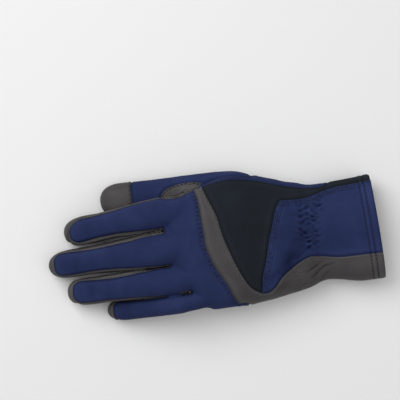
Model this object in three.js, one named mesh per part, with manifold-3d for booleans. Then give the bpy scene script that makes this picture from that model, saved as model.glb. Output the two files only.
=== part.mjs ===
// A left-hand horse riding glove lying palm down: fingers towards -X, cuff towards +X, thumb on the +Y side.
// Every panel is a thin wall of the real fabric or leather, hollow inside, with a narrow gap along
// each seam.
// Units are millimetres, +Z is up, and the glove rests on the plane z = 0.
import * as THREE from "three";
import { mergeVertices } from "three/addons/utils/BufferGeometryUtils.js";
import Module from "manifold-3d";

const wasm = await Module();
wasm.setup();

// Driving sizes of the hand, the fingers and the cuff
const palmLength = 101; // finger crotch to wrist seam
const palmWidth = 86; // across the knuckles
const palmDepth = 30; // back of the hand to the palm
const fingerWidth = 20.2; // the index finger's
const fingerDepth = 19;
const thumbWidth = 25;
const thumbDepth = 19;
const cuffLength = 53; // wrist seam to the mouth
const wristWidth = 70;
const wristDepth = 24;
const cuffWidth = 75.5;
const cuffDepth = 30;

// Driving sizes of the walls and seams
const wall = 1.5;
const seamGap = 0.3; // kept open between two panels
const hemWidth = 13; // the cuff's turned-in edge
const hemWall = 2.4;
const gatherHeight = 0.8; // how far the elastic puckers the wrist
const gatherWidth = 24; // length of the puckered band
const tipBand = 5; // leather that wraps over each fingertip
const thumbTipLength = 24; // leather past the thumb's fabric back
const patchWall = 1.6;

// One row a finger, index first. width and depth are shares of fingerWidth and fingerDepth, or of the
// thumb's. root and tip are places in shares: forward of the crotch line over palmLength, across over
// palmWidth from the palm's middle, and up over palmDepth. knuckle widens the root over the width, swing
// is how late the finger turns sideways, and curl is how late it bends down.
const fingerShares = [
  {
    name: "index", width: 1, depth: 1, knuckle: 1.13,
    root: [-0.16, 0.36, 1.03], tip: [0.69, 0.31, 0.16], swing: 2, curl: 2.1,
  },
  {
    name: "middle", width: 1.015, depth: 1.02, knuckle: 1.2,
    root: [-0.16, 0.06, 1.05], tip: [0.838, 0.066, 0.17], swing: 2, curl: 2.1,
  },
  {
    name: "ring", width: 0.99, depth: 0.97, knuckle: 1,
    root: [-0.16, -0.208, 0.98], tip: [0.736, -0.18, 0.16], swing: 2, curl: 2.2,
  },
  {
    name: "pinky", width: 0.77, depth: 0.84, knuckle: 0.8,
    root: [-0.24, -0.415, 0.86], tip: [0.475, -0.38, 0.14], swing: 2, curl: 2.2,
  },
];
const thumbShares = {
  name: "thumb", width: 1, depth: 1, knuckle: 1,
  root: [-0.66, 0.42, 0.5], tip: [0.406, 0.53, 0.25], swing: 0.4, curl: 1.2,
};
const sized = (row, width, depth) => ({ ...row, width: row.width * width, depth: row.depth * depth });
const fingers = fingerShares.map((row) => sized(row, fingerWidth, fingerDepth));
const thumb = sized(thumbShares, thumbWidth, thumbDepth);

// Finger sections from root to tip, in shares of the finger's length, width and depth
const fingerSections = [
  { along: 0, width: 1, depth: 1.08 },
  { along: 0.22, width: 1, depth: 1.04 },
  { along: 0.42, width: 0.96, depth: 0.97 },
  { along: 0.64, width: 0.92, depth: 0.92 },
  { along: 0.84, width: 0.98, depth: 0.93 },
  { along: 0.93, width: 0.88, depth: 0.82 },
  { along: 0.98, width: 0.6, depth: 0.56 },
  { along: 1, width: 0.28, depth: 0.26 },
];

// Hand sections from the crotch line to the wrist seam, in shares of palmLength, palmWidth and palmDepth.
// rise is the underside's height, roll is the slope across in degrees, and arch drops both edges.
const handSections = [
  { along: 0, side: -0.02, width: 0.92, rise: 0.66, depth: 0.42, roll: 4, arch: 0.08 },
  { along: 0.08, side: -0.02, width: 0.95, rise: 0.53, depth: 0.77, roll: 4, arch: 0.08 },
  { along: 0.18, side: -0.01, width: 1.0, rise: 0.43, depth: 0.95, roll: 4, arch: 0.08 },
  { along: 0.33, side: 0.007, width: 1.05, rise: 0.32, depth: 1.04, roll: 3, arch: 0.06 },
  { along: 0.475, side: 0.023, width: 1.09, rise: 0.17, depth: 1.15, roll: 2, arch: 0.04 },
  { along: 0.653, side: 0.02, width: 1.077, rise: -0.03, depth: 1.25, roll: 1, arch: 0.02 },
  { along: 0.79, side: 0.006, width: 1.01, rise: -0.08, depth: 1.22, roll: 0, arch: 0 },
  { along: 0.92, side: -0.014, width: 0.93, rise: -0.05, depth: 1.1, roll: 0, arch: 0 },
  { along: 1, side: -0.02, width: 0.885, rise: 0.01, depth: 0.97, roll: 0, arch: 0 },
];

// Cuff sections from the wrist seam to the mouth. flare runs from 0 at wristWidth and wristDepth to 1 at
// cuffWidth and cuffDepth; side is in shares of palmWidth and rise in shares of wristDepth.
const cuffSections = [
  { along: 0.12, side: -0.02, flare: 0.3, rise: 0.07 },
  { along: 0.23, side: -0.018, flare: 0, rise: 0.1 },
  { along: 0.41, side: -0.03, flare: 0.2, rise: 0.08 },
  { along: 0.66, side: -0.047, flare: 0.85, rise: 0.02 },
  { along: 0.88, side: -0.05, flare: 1, rise: -0.03 },
  { along: 1, side: -0.048, flare: 0.95, rise: -0.03 },
];

// Seams on the back of the glove. along runs 0 to 1 over the palm and 1 to 2 over the cuff; across is the
// share of the local half width from the middle line, +1 at the thumb side and -1 at the little-finger side.
const seams = {
  indexEdge: [[-0.3, 0.9], [0.02, 0.92], [0.1, 0.93], [0.18, 0.95], [0.24, 0.98]],
  stripFront: [
    [0.27, 1.0], [0.285, 0.83], [0.29, 0.66], [0.29, 0.23], [0.29, 0.04], [0.31, -0.16], [0.34, -0.36],
    [0.4, -0.63], [0.43, -0.84], [0.46, -0.95], [0.53, -1.0], [0.55, -1.4],
  ],
  stripBack: [
    [0.32, 1.1], [0.33, 1.0], [0.36, 0.75], [0.4, 0.46], [0.42, 0.14], [0.46, -0.2], [0.5, -0.47],
    [0.55, -0.7], [0.6, -0.81], [0.66, -0.87], [0.72, -0.83], [0.79, -0.68], [0.87, -0.56],
    [0.94, -0.47], [1.02, -0.42], [1.19, -0.49], [1.37, -0.53], [1.55, -0.5], [1.79, -0.48],
    [2.2, -0.52],
  ],
  dartBack: [
    [0.635, -0.79], [0.65, -0.61], [0.69, -0.38], [0.74, -0.03], [0.78, 0.22], [0.81, 0.42],
    [0.85, 0.6], [0.89, 0.65], [0.98, 0.68], [1.16, 0.76], [1.34, 0.85], [1.53, 0.89], [1.71, 0.89],
    [2.2, 0.92],
  ],
  dartTop: [
    [0.25, 0.99], [0.38, 0.97], [0.5, 0.95], [0.64, 0.92], [0.74, 0.91], [0.85, 0.91], [0.95, 0.91],
    [1.18, 0.93], [1.42, 0.99], [1.5, 1.4],
  ],
  patch: [
    [0.03, 1.1], [0.07, 1.19], [0.12, 1.2], [0.18, 1.17], [0.26, 1.12], [0.31, 1.07], [0.33, 1.02],
    [0.25, 0.97], [0.13, 0.98], [0.06, 1.04],
  ],
};

const handSides = 28;
const fingerSides = 12;
const sectionPower = 2.25; // 2 is an ellipse, more is boxier
const far = 200; // past every edge of the glove
const knuckleX = 0; // the crotch line
const wristX = knuckleX + palmLength;
const mouthX = wristX + cuffLength;

// Turns a closed geometry that holds positions only into a solid that faces out.
function solidFrom(geometry) {
  geometry.deleteAttribute("normal");
  geometry.deleteAttribute("uv");
  const merged = mergeVertices(geometry, 1e-4);
  const triVerts = new Uint32Array(merged.index.array);
  const make = () =>
    new wasm.Manifold(
      new wasm.Mesh({ numProp: 3, vertProperties: merged.attributes.position.array, triVerts }),
    );
  const made = make();
  if (made.volume() > 0) return made;
  for (let i = 0; i < triVerts.length; i += 3) {
    [triVerts[i + 1], triVerts[i + 2]] = [triVerts[i + 2], triVerts[i + 1]];
  }
  return make();
}

// A closed solid through rings of points. Each end is closed by strips from one side of the ring to the
// other.
function loft(rings) {
  const sides = rings[0].length;
  const positions = [];
  const triangle = (a, b, c) => positions.push(...a.toArray(), ...b.toArray(), ...c.toArray());
  for (let j = 0; j + 1 < rings.length; j++) {
    for (let i = 0; i < sides; i++) {
      const next = (i + 1) % sides;
      triangle(rings[j][i], rings[j][next], rings[j + 1][next]);
      triangle(rings[j][i], rings[j + 1][next], rings[j + 1][i]);
    }
  }
  const closeEnd = (ring, face) => {
    let [a, b] = [0, sides - 1];
    while (b - a > 1) {
      face(ring[a], ring[a + 1], ring[b]);
      a++;
      if (b - a > 1) face(ring[a], ring[b - 1], ring[b]);
      b--;
    }
  };
  closeEnd(rings[rings.length - 1], triangle);
  closeEnd(rings[0], (a, b, c) => triangle(a, c, b));
  const geometry = new THREE.BufferGeometry();
  geometry.setAttribute("position", new THREE.Float32BufferAttribute(positions, 3));
  return solidFrom(geometry);
}

const union = (solids) => solids.reduce((all, next) => all.add(next));

// The largest body of a solid: slivers left where two cuts meet are dropped.
const mainBody = (solid) => solid.decompose().sort((a, b) => b.volume() - a.volume())[0];

// Smooth value of one column of a table at x, through its rows.
function valueAt(rows, key, x) {
  const last = rows.length - 1;
  if (x <= rows[0].x) return rows[0][key];
  if (x >= rows[last].x) return rows[last][key];
  const i = rows.findIndex((row) => row.x > x) - 1;
  const slope = (k) => {
    const [a, b] = [rows[Math.max(k - 1, 0)], rows[Math.min(k + 1, last)]];
    return (b[key] - a[key]) / (b.x - a.x);
  };
  const step = rows[i + 1].x - rows[i].x;
  const t = (x - rows[i].x) / step;
  const [h00, h10] = [2 * t ** 3 - 3 * t ** 2 + 1, t ** 3 - 2 * t ** 2 + t];
  const [h01, h11] = [3 * t ** 2 - 2 * t ** 3, t ** 3 - t ** 2];
  const fromHere = h00 * rows[i][key] + h10 * step * slope(i);
  const fromNext = h01 * rows[i + 1][key] + h11 * step * slope(i + 1);
  return fromHere + fromNext;
}

// The hand and cuff tables as sizes in millimetres, in one list along X.
const handRows = [
  ...handSections.map((row) => ({
    x: knuckleX + row.along * palmLength,
    side: row.side * palmWidth,
    halfWidth: (row.width * palmWidth) / 2,
    halfDepth: (row.depth * palmDepth) / 2,
    middle: (row.rise + row.depth / 2) * palmDepth,
    slope: Math.tan(THREE.MathUtils.degToRad(row.roll)),
    arch: row.arch * palmDepth,
  })),
  ...cuffSections.map((row) => {
    const depth = wristDepth + (cuffDepth - wristDepth) * row.flare;
    return {
      x: wristX + row.along * cuffLength,
      side: row.side * palmWidth,
      halfWidth: (wristWidth + (cuffWidth - wristWidth) * row.flare) / 2,
      halfDepth: depth / 2,
      middle: row.rise * wristDepth + depth / 2,
      slope: 0,
      arch: 0,
    };
  }),
];
const handColumns = ["side", "halfWidth", "halfDepth", "middle", "slope", "arch"];
const handAt = (x) =>
  Object.fromEntries(handColumns.map((key) => [key, valueAt(handRows, key, x)]));

const signedPower = (value, power) => Math.sign(value) * Math.abs(value) ** power;
const bump = (x, centre, width) => Math.exp(-(((x - centre) / (width / 2)) ** 2));

// The slanted front of the hand: the crotch beside the little finger lies further back.
const crotchSlant = 0.25 * palmLength;
const frontSlant = (x, across) => {
  const fade = Math.max(0, 1 - (x - knuckleX) / (0.25 * palmLength));
  return across < 0 ? crotchSlant * fade * (-across) ** 1.5 : 0;
};

// One ring of the hand at x. inset moves it in along its outline, and floor is the lowest height it may
// reach.
function handRing(x, row, inset, floor) {
  const at = handAt(x);
  const pucker = gatherHeight * bump(x, wristX + gatherWidth / 3, gatherWidth);
  return Array.from({ length: handSides }, (_, i) => {
    const angle = (i / handSides) * 2 * Math.PI;
    const across = signedPower(Math.cos(angle), 2 / sectionPower);
    const up = signedPower(Math.sin(angle), 2 / sectionPower);
    const gather = (i + row) % 2 ? pucker : -pucker;
    const y = across * (at.halfWidth - inset + gather / 2);
    const z = up * (at.halfDepth - inset + gather);
    const height = at.middle + z + y * at.slope - at.arch * across ** 2;
    return new THREE.Vector3(x + frontSlant(x, across), at.side + y, Math.max(height, floor));
  });
}

const palmRings = 7;
const cuffRings = 9;
const handStations = [
  ...Array.from({ length: palmRings }, (_, j) => knuckleX + (palmLength * j) / palmRings),
  ...Array.from({ length: cuffRings + 1 }, (_, j) => wristX + (cuffLength * j) / cuffRings),
];
const hemX = mouthX - hemWidth;

// The hand and cuff as a filled solid. inset shrinks it, and a negative inset grows it.
function handSolid(inset, floor) {
  const rings = handStations.map((x, j) => handRing(j === 0 ? x + inset : x, j, inset, floor));
  return loft(rings);
}

// The space inside the hand and cuff, open through the mouth and narrower inside the hem.
function handSpace() {
  const rings = handStations.map((x, j) => {
    const inset = x > hemX ? hemWall : wall;
    return handRing(j === 0 ? x + wall : x, j, inset, wall);
  });
  const past = handRing(mouthX + wall, handStations.length, hemWall, wall);
  return loft([...rings, past]);
}

// The place on a finger's centreline at share s of its length, and its section's directions there.
function fingerFrame(finger, s) {
  const place = ([out, across, up]) => [knuckleX - out * palmLength, across * palmWidth, up * palmDepth];
  const [root, tip] = [place(finger.root), place(finger.tip)];
  const at = (t) =>
    new THREE.Vector3(
      THREE.MathUtils.lerp(root[0], tip[0], t),
      THREE.MathUtils.lerp(root[1], tip[1], signedPower(t, finger.swing)),
      THREE.MathUtils.lerp(root[2], tip[2], signedPower(t, finger.curl)),
    );
  const along = at(s + 0.01).sub(at(s - 0.01)).normalize();
  const across = along.clone().cross(new THREE.Vector3(0, 0, 1)).normalize();
  return { centre: at(s), along, across, up: across.clone().cross(along) };
}

const fingerRows = fingerSections.map((row) => ({ ...row, x: row.along }));
const fingerLength = (finger) => (finger.tip[0] - finger.root[0]) * palmLength;

// Half width and half depth of a finger at share s of its length
const halfWidthAt = (finger, s) => {
  const knuckle = THREE.MathUtils.lerp(finger.knuckle, 1, Math.min(Math.max(s, 0) / 0.6, 1));
  return (valueAt(fingerRows, "width", s) * knuckle * finger.width) / 2;
};
const halfDepthAt = (finger, s) => (valueAt(fingerRows, "depth", s) * finger.depth) / 2;

// A finger as a filled solid, with its tip drawn in by the same inset as its sides.
function fingerSolid(finger, inset, floor) {
  const reach = 1 - inset / fingerLength(finger);
  const rings = fingerSections.map((row) => {
    const { centre, across, up } = fingerFrame(finger, row.along * reach);
    const halfWidth = Math.max(halfWidthAt(finger, row.along) - inset, wall);
    const halfDepth = Math.max(halfDepthAt(finger, row.along) - inset, wall);
    return Array.from({ length: fingerSides }, (_, i) => {
      const angle = (i / fingerSides) * 2 * Math.PI;
      const point = centre
        .clone()
        .addScaledVector(across, halfWidth * signedPower(Math.cos(angle), 2 / sectionPower))
        .addScaledVector(up, halfDepth * signedPower(Math.sin(angle), 2 / sectionPower));
      point.z = Math.max(point.z, floor);
      return point;
    });
  });
  return loft(rings);
}

// A block that follows a finger, from share start to share end, between two sides and two heights. Sides and
// heights are shares of the local half width and depth, and grow makes the block larger all round.
function fingerBlock(finger, { start, end, inner, outer, low, high, corner, grow }) {
  const growShare = grow / fingerLength(finger);
  const [from, to] = [start - growShare, end + growShare];
  const inside = fingerSections
    .map((row) => row.along)
    .filter((along) => along > from + 0.02 && along < to - 0.02);
  const rings = [from, ...inside, to].map((s) => {
    const { centre, across, up } = fingerFrame(finger, s);
    const halfWidth = halfWidthAt(finger, Math.min(s, 0.87));
    const halfDepth = halfDepthAt(finger, Math.min(s, 0.87));
    const narrow = s === to ? corner : 0;
    const corners = [
      [inner * halfWidth + narrow - grow, low * halfDepth - grow],
      [outer * halfWidth - narrow + grow, low * halfDepth - grow],
      [outer * halfWidth - narrow + grow, high * halfDepth + grow],
      [inner * halfWidth + narrow - grow, high * halfDepth + grow],
    ];
    return corners.map(([a, b]) =>
      centre.clone().addScaledVector(across, a).addScaledVector(up, b),
    );
  });
  return loft(rings);
}

// A seam point on the plan, from its shares along and across the hand.
function seamPoint([along, across]) {
  const x = along <= 1 ? knuckleX + along * palmLength : wristX + (along - 1) * cuffLength;
  const at = handAt(x);
  return new THREE.Vector2(x, at.side + across * at.halfWidth);
}
const seamLine = (rows) => rows.map(seamPoint);

// A plan outline as an upright block, its outline moved out by grow.
function planBlock(points, grow) {
  const count = points.length;
  const turn = THREE.ShapeUtils.isClockWise(points) ? -1 : 1;
  const moved = points.map((p, i) => {
    const before = p.clone().sub(points[(i + count - 1) % count]).normalize();
    const after = points[(i + 1) % count].clone().sub(p).normalize();
    const outward = (d) => new THREE.Vector2(d.y, -d.x).multiplyScalar(turn);
    const normal = outward(before).add(outward(after)).normalize();
    const mitre = Math.min(1 / Math.max(normal.dot(outward(after)), 0.3), 3);
    return p.clone().addScaledVector(normal, grow * mitre);
  });
  const upright = { depth: 2 * far, bevelEnabled: false };
  const block = new THREE.ExtrudeGeometry(new THREE.Shape(moved), upright);
  return solidFrom(block.translate(0, 0, -far));
}

// Everything above the side seam, which runs low along both sides of the hand and cuff.
const sideSeam = 0.35; // share of the half depth below the middle
function aboveSideSeam(shift) {
  const rings = [knuckleX - far, ...handStations, mouthX + far].map((x) => {
    const at = handAt(x);
    const edge = at.middle - at.arch - sideSeam * at.halfDepth + shift;
    const rise = at.halfWidth * at.slope;
    return [
      [-far, edge - rise], [-at.halfWidth, edge - rise], [0, at.middle + shift],
      [at.halfWidth, edge + rise], [far, edge + rise], [far, far], [-far, far],
    ].map(([y, z]) => new THREE.Vector3(x, at.side + y, z));
  });
  return loft(rings);
}

// The filled outer form and the hollow, then the wall between them
const fingerRoots = fingers.map((finger) => fingerSolid(finger, 0, 0));
const handForm = union([handSolid(0, 0), ...fingerRoots]);
const thumbForm = fingerSolid(thumb, 0, 0);
const thumbSpace = fingerSolid(thumb, wall, wall);
const fingerSpaces = fingers.map((finger) => fingerSolid(finger, wall, wall));
const handHollow = union([handSpace(), ...fingerSpaces]);
const handShell = handForm.subtract(handHollow).subtract(thumbSpace);
const grownFingers = fingers.map((finger) => fingerSolid(finger, -seamGap, -far));
const handGrown = union([handSolid(-seamGap, -far), ...grownFingers]);
const thumbShell = thumbForm.subtract(thumbSpace).subtract(handGrown);

// The back panel: the hand's back as far as the leather strip, and the backs of the four fingers
const cover = 1.5; // a share well past a finger's edge
const tipStart = (finger) => 1 - tipBand / fingerLength(finger);
const frontEdge = [1.4, 0.6, 0, -0.2, -0.4, -0.6, -0.8, -1, -1.4].map((across) => {
  const slant = across < 0 ? crotchSlant * Math.min(-across, 1) ** 1.5 : 0;
  return [(slant + 1.2 * wall) / palmLength, across];
});
const fingerBacks = (grow) =>
  fingers.map((finger) => {
    const shared = { start: 0, end: tipStart(finger), high: cover, grow };
    const flat = { inner: -0.82, outer: 0.82, low: 0.3, corner: finger.width / 8 };
    const top = fingerBlock(finger, { ...shared, ...flat });
    if (finger.name !== "pinky") return top;
    // The little finger's outer side is fabric as well, down to the palm.
    const outside = { inner: -cover, outer: 0, low: -0.35, corner: 0 };
    return top.add(fingerBlock(finger, { ...shared, ...outside }));
  });
function backBlock(grow) {
  const front = frontEdge.filter(([, across]) => across < 0.9).reverse();
  const plan = planBlock(seamLine([...seams.indexEdge.slice(1), ...seams.stripFront, ...front]), grow);
  return union([plan.intersect(aboveSideSeam(-grow)), ...fingerBacks(grow)]);
}

// The palm: the hand's underside as far as the wrist seam, and the fronts of the four fingers
function palmBlock(grow) {
  const fronts = fingers.map((finger) => {
    const inner = finger.name === "pinky" ? -cover : -0.82;
    const sides = { inner, outer: 0.82, low: -cover, high: -0.45, corner: finger.width / 10 };
    return fingerBlock(finger, { start: 0, end: tipStart(finger), ...sides, grow });
  });
  const plan = planBlock(seamLine([...frontEdge, [1, -1.4], [1, 1.4]]), grow);
  return union([plan.subtract(aboveSideSeam(grow - seamGap)), ...fronts]);
}

// The other panels of the hand and cuff, as upright blocks between their seams
const cuffFrontBlock = (grow) => {
  const plan = planBlock(seamLine([[1, -1.6], [2.3, -1.6], [2.3, 1.6], [1, 1.6]]), grow);
  return plan.subtract(aboveSideSeam(grow - seamGap));
};
const radialBlock = (grow) =>
  planBlock(seamLine([...seams.dartTop, [1.5, 2], [0.25, 2]]), grow);
const stripBlock = (grow) =>
  planBlock(seamLine([...seams.stripFront, [2.3, -1.4], ...[...seams.stripBack].reverse()]), grow);
const dartStart = 9; // the row of stripBack where the charcoal panel's point meets the strip
const alongHand = seams.stripBack.slice(0, dartStart);
const alongCuff = seams.stripBack.slice(dartStart);
const dartBlock = (grow) =>
  planBlock(seamLine([...alongHand, ...seams.dartBack, [2.3, 1.5], [1.4, 1.5]]), grow);
const cuffBackBlock = (grow) =>
  planBlock(seamLine([...alongCuff, ...[...seams.dartBack].reverse()]), grow);

// The line midway between two neighbouring fingers, from the crotch to past their tips
function midline(upper, lower) {
  const sideAt = (finger, x, sign) => {
    const along = (fingerFrame(finger, 0).centre.x - x) / fingerLength(finger);
    const s = Math.min(Math.max(along, 0), 0.9);
    return fingerFrame(finger, s).centre.y + sign * halfWidthAt(finger, s);
  };
  const stations = [0.3, 0.1, -0.1, -0.3, -0.5, -0.7, -1.2].map((share) => knuckleX + share * palmLength);
  return stations.map((x) => new THREE.Vector2(x, (sideAt(upper, x, -1) + sideAt(lower, x, 1)) / 2));
}
const outside = (y) =>
  [0.3, -1.2].map((share) => new THREE.Vector2(knuckleX + share * palmLength, y));
const between = fingers.slice(1).map((finger, i) => midline(fingers[i], finger));
const midlines = [outside(far), ...between, outside(-far)];
const gussetBlock = (i) => (grow) =>
  planBlock([...midlines[i], ...[...midlines[i + 1]].reverse()], grow);

// The thumb's back, as far as the leather tip
const thumbBackBlock = (grow) => {
  const end = 1 - thumbTipLength / fingerLength(thumb);
  const sides = { inner: -cover, outer: cover, low: -0.25, high: cover, corner: 0 };
  return fingerBlock(thumb, { start: 0, end, ...sides, grow });
};

// All that the panels before have left
const everything = () =>
  planBlock([[-far, -far], [far, -far], [far, far], [-far, far]].map((p) => new THREE.Vector2(...p)), 0);

// Cuts each panel out of the wall in turn, leaving the seam gap around it.
function cutPanels(shell, panels) {
  let rest = shell;
  return panels.map(([name, block, color]) => {
    const solid = rest.intersect(block(0));
    rest = rest.subtract(block(seamGap));
    return { name, solid, color };
  });
}

const navy = "#242e52";
const charcoal = "#1f242b";
const leather = "#444245";
const panels = [
  ...cutPanels(handShell, [
    ["back_panel", backBlock, navy],
    ["palm_panel", palmBlock, leather],
    ["cuff_front", cuffFrontBlock, navy],
    ["radial_panel", radialBlock, navy],
    ["wrist_strip", stripBlock, leather],
    ["dart_panel", dartBlock, charcoal],
    ["cuff_back", cuffBackBlock, navy],
    ...fingers.map((finger, i) => [`${finger.name}_gusset`, gussetBlock(i), leather]),
  ]),
  ...cutPanels(thumbShell, [
    ["thumb_back", thumbBackBlock, navy],
    ["thumb_front", everything, leather],
  ]),
];

// The leather patch over the crotch of the thumb, laid on the finished wall
const lift = seamGap + patchWall;
const under = union([handForm, thumbForm, handGrown, fingerSolid(thumb, -seamGap, -far)]);
const over = union([handSolid(-lift, 0), fingerSolid(thumb, -lift, 0)]);
const patchBlock = planBlock(seamLine(seams.patch), 0).intersect(aboveSideSeam(0));
panels.push({ name: "rein_patch", solid: over.subtract(under).intersect(patchBlock), color: leather });

// A panel's largest body with its corners on a fine grid, so that slivers left along a cut close up
const grid = 0.005;
function panelGeometry(solid, centre) {
  const raw = mainBody(solid).getMesh();
  const geometry = new THREE.BufferGeometry();
  const snapped = (value, axis) => Math.round((value - centre.getComponent(axis)) / grid) * grid;
  const onGrid = raw.vertProperties.map((value, i) => snapped(value, i % 3));
  geometry.setAttribute("position", new THREE.Float32BufferAttribute(onGrid, 3));
  geometry.setIndex(new THREE.Uint32BufferAttribute(raw.triVerts, 1));
  const merged = mergeVertices(geometry, grid / 4);
  const faces = new Map();
  for (let i = 0; i < merged.index.count; i += 3) {
    const face = [0, 1, 2].map((k) => merged.index.getX(i + k));
    if (new Set(face).size < 3) continue;
    const key = [...face].sort((a, b) => a - b).join();
    // Two faces on the same corners are a flap with no thickness.
    if (!faces.delete(key)) faces.set(key, face);
  }
  merged.setIndex([...faces.values()].flat());
  merged.computeVertexNormals();
  return merged;
}

// A mesh of one panel, moved so that the whole glove is centred over the origin and stands on z = 0
function meshOf({ name, solid, color }, centre) {
  const material = new THREE.MeshStandardMaterial({ color, roughness: 0.8 });
  const mesh = new THREE.Mesh(panelGeometry(solid, centre), material);
  mesh.name = name;
  return mesh;
}

const { min, max } = union(panels.map((panel) => mainBody(panel.solid))).boundingBox();
const centre = new THREE.Vector3((min[0] + max[0]) / 2, (min[1] + max[1]) / 2, min[2]);
const glove = new THREE.Group();
glove.name = "riding_glove";
panels.forEach((panel) => glove.add(meshOf(panel, centre)));

export default glove;
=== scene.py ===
"""Looks of a left-hand horse riding glove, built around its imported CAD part.

The glove is modelled in millimetres, with x from the fingertips to the cuff, y to the thumb side and z up,
and is moved into the frame in metres at the end. One skin is made from the hand, the fingers and the thumb.
Its seams are cut into it as lines, and each panel then becomes its own piece with its own finish, wall and
stitching.
"""

import logging
import math
from collections.abc import Callable
from dataclasses import dataclass
from enum import Enum
from typing import ClassVar

import bmesh
import bpy
import numpy as np
from mathutils import Matrix, Vector, noise
from mathutils.bvhtree import BVHTree
from mathutils.kdtree import KDTree


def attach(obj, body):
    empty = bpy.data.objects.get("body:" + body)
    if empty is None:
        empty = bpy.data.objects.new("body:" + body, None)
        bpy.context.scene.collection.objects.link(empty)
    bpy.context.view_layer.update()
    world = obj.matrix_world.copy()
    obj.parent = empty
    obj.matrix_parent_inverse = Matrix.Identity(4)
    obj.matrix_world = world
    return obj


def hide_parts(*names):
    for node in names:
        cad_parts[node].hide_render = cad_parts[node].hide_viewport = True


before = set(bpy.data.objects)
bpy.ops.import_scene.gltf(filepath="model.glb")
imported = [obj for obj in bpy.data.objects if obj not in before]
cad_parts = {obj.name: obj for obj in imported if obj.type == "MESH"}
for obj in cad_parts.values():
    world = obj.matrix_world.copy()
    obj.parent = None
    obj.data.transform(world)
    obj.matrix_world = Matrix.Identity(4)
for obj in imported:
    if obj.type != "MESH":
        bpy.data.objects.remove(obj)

logging.basicConfig(level=logging.INFO, format="%(message)s")
log = logging.getLogger("glove")

MM = 0.001
MIDDLE = (34.07, 6.15)  # the glove's middle in its own millimetres, which the frame puts over the origin


class Panel(Enum):
    """The panels of the glove, each named after the CAD node that it stands for."""

    BACK = "back_panel"
    PALM = "palm_panel"
    INDEX = "index_gusset"
    MIDDLE = "middle_gusset"
    RING = "ring_gusset"
    PINKY = "pinky_gusset"
    THUMB_BACK = "thumb_back"
    THUMB_FRONT = "thumb_front"
    PATCH = "rein_patch"
    RADIAL = "radial_panel"
    STRIP = "wrist_strip"
    DART = "dart_panel"
    CUFF_BACK = "cuff_back"
    CUFF_FRONT = "cuff_front"


PANELS = list(Panel)
GUSSETS = (Panel.INDEX, Panel.MIDDLE, Panel.RING, Panel.PINKY)
CUFF_CLOTH = (Panel.CUFF_BACK, Panel.CUFF_FRONT)


@dataclass(frozen=True)
class HandSizes:
    """Driving sizes of the glove in millimetres.

    crotch_slant is how far back the little finger's root lies, slant_power how that grows across the hand,
    and slant_fade the share of the palm over which it ends. side_seam is how far under the middle the side
    seam runs, over the half depth. power is how square the sections are, and overrun how far the skin runs on
    past the mouth before it is cut there.
    """

    palm_length: float = 101.0
    palm_width: float = 86.0
    palm_depth: float = 30.0
    cuff_length: float = 53.0
    wrist_width: float = 70.0
    wrist_depth: float = 24.0
    cuff_width: float = 75.5
    cuff_depth: float = 30.0
    crotch_slant: float = 25.25
    slant_power: float = 1.5
    slant_fade: float = 0.25
    side_seam: float = 0.35
    power: float = 2.25
    overrun: float = 3.0

    @property
    def wrist_x(self) -> float:
        """Returns: the wrist seam's place along x."""
        return self.palm_length

    @property
    def mouth_x(self) -> float:
        """Returns: the cuff mouth's place along x."""
        return self.palm_length + self.cuff_length

    @property
    def skin_end(self) -> float:
        """Returns: where the skin ends along x before the mouth is cut."""
        return self.mouth_x + self.overrun


@dataclass(frozen=True)
class Finger:
    """One finger or the thumb.

    root and tip are shares: forward of the crotch line over the palm's length, across over its width, and up
    over its depth. knuckle widens the root, swing is how late the finger turns sideways, and curl how late it
    bends down.
    """

    name: str
    width: float
    depth: float
    knuckle: float
    root: tuple[float, float, float]
    tip: tuple[float, float, float]
    swing: float
    curl: float


FINGERS = (
    Finger("index", 20.2, 19.0, 1.13, (-0.16, 0.36, 1.03), (0.69, 0.31, 0.16), 2.0, 2.1),
    Finger("middle", 20.5, 19.4, 1.2, (-0.16, 0.06, 1.05), (0.838, 0.066, 0.17), 2.0, 2.1),
    Finger("ring", 20.0, 18.4, 1.0, (-0.16, -0.208, 0.98), (0.736, -0.18, 0.16), 2.0, 2.2),
    Finger("pinky", 15.6, 16.0, 0.8, (-0.24, -0.415, 0.86), (0.475, -0.38, 0.14), 2.0, 2.2),
)
THUMB = Finger("thumb", 25.0, 19.0, 1.0, (-0.66, 0.42, 0.5), (0.406, 0.53, 0.25), 0.4, 1.2)

# Finger sections from root to tip: share of the length, of the width and of the depth
FINGER_ROWS = (
    (0.0, 1.0, 1.08), (0.22, 1.0, 1.04), (0.42, 0.96, 0.97), (0.64, 0.92, 0.92), (0.84, 0.98, 0.93),
    (0.93, 0.88, 0.82), (0.98, 0.6, 0.56), (1.0, 0.28, 0.26),
)
# Hand sections: share of the palm's length, side, width, rise and depth in shares, roll in degrees, arch
HAND_ROWS = (
    (0.0, -0.02, 0.92, 0.66, 0.42, 4, 0.08), (0.08, -0.02, 0.95, 0.53, 0.77, 4, 0.08),
    (0.18, -0.01, 1.0, 0.43, 0.95, 4, 0.08), (0.33, 0.007, 1.05, 0.32, 1.04, 3, 0.06),
    (0.475, 0.023, 1.09, 0.17, 1.15, 2, 0.04), (0.653, 0.02, 1.077, -0.03, 1.25, 1, 0.02),
    (0.79, 0.006, 1.01, -0.08, 1.22, 0, 0.0), (0.92, -0.014, 0.93, -0.05, 1.1, 0, 0.0),
    (1.0, -0.02, 0.885, 0.01, 0.97, 0, 0.0),
)
# Cuff sections: share of the cuff's length, side, flare from the wrist's to the mouth's size, rise
CUFF_ROWS = (
    (0.12, -0.02, 0.3, 0.07), (0.23, -0.018, 0.0, 0.1), (0.41, -0.03, 0.2, 0.08), (0.66, -0.047, 0.85, 0.02),
    (0.88, -0.05, 1.0, -0.03), (1.0, -0.048, 0.95, -0.03),
)
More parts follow.
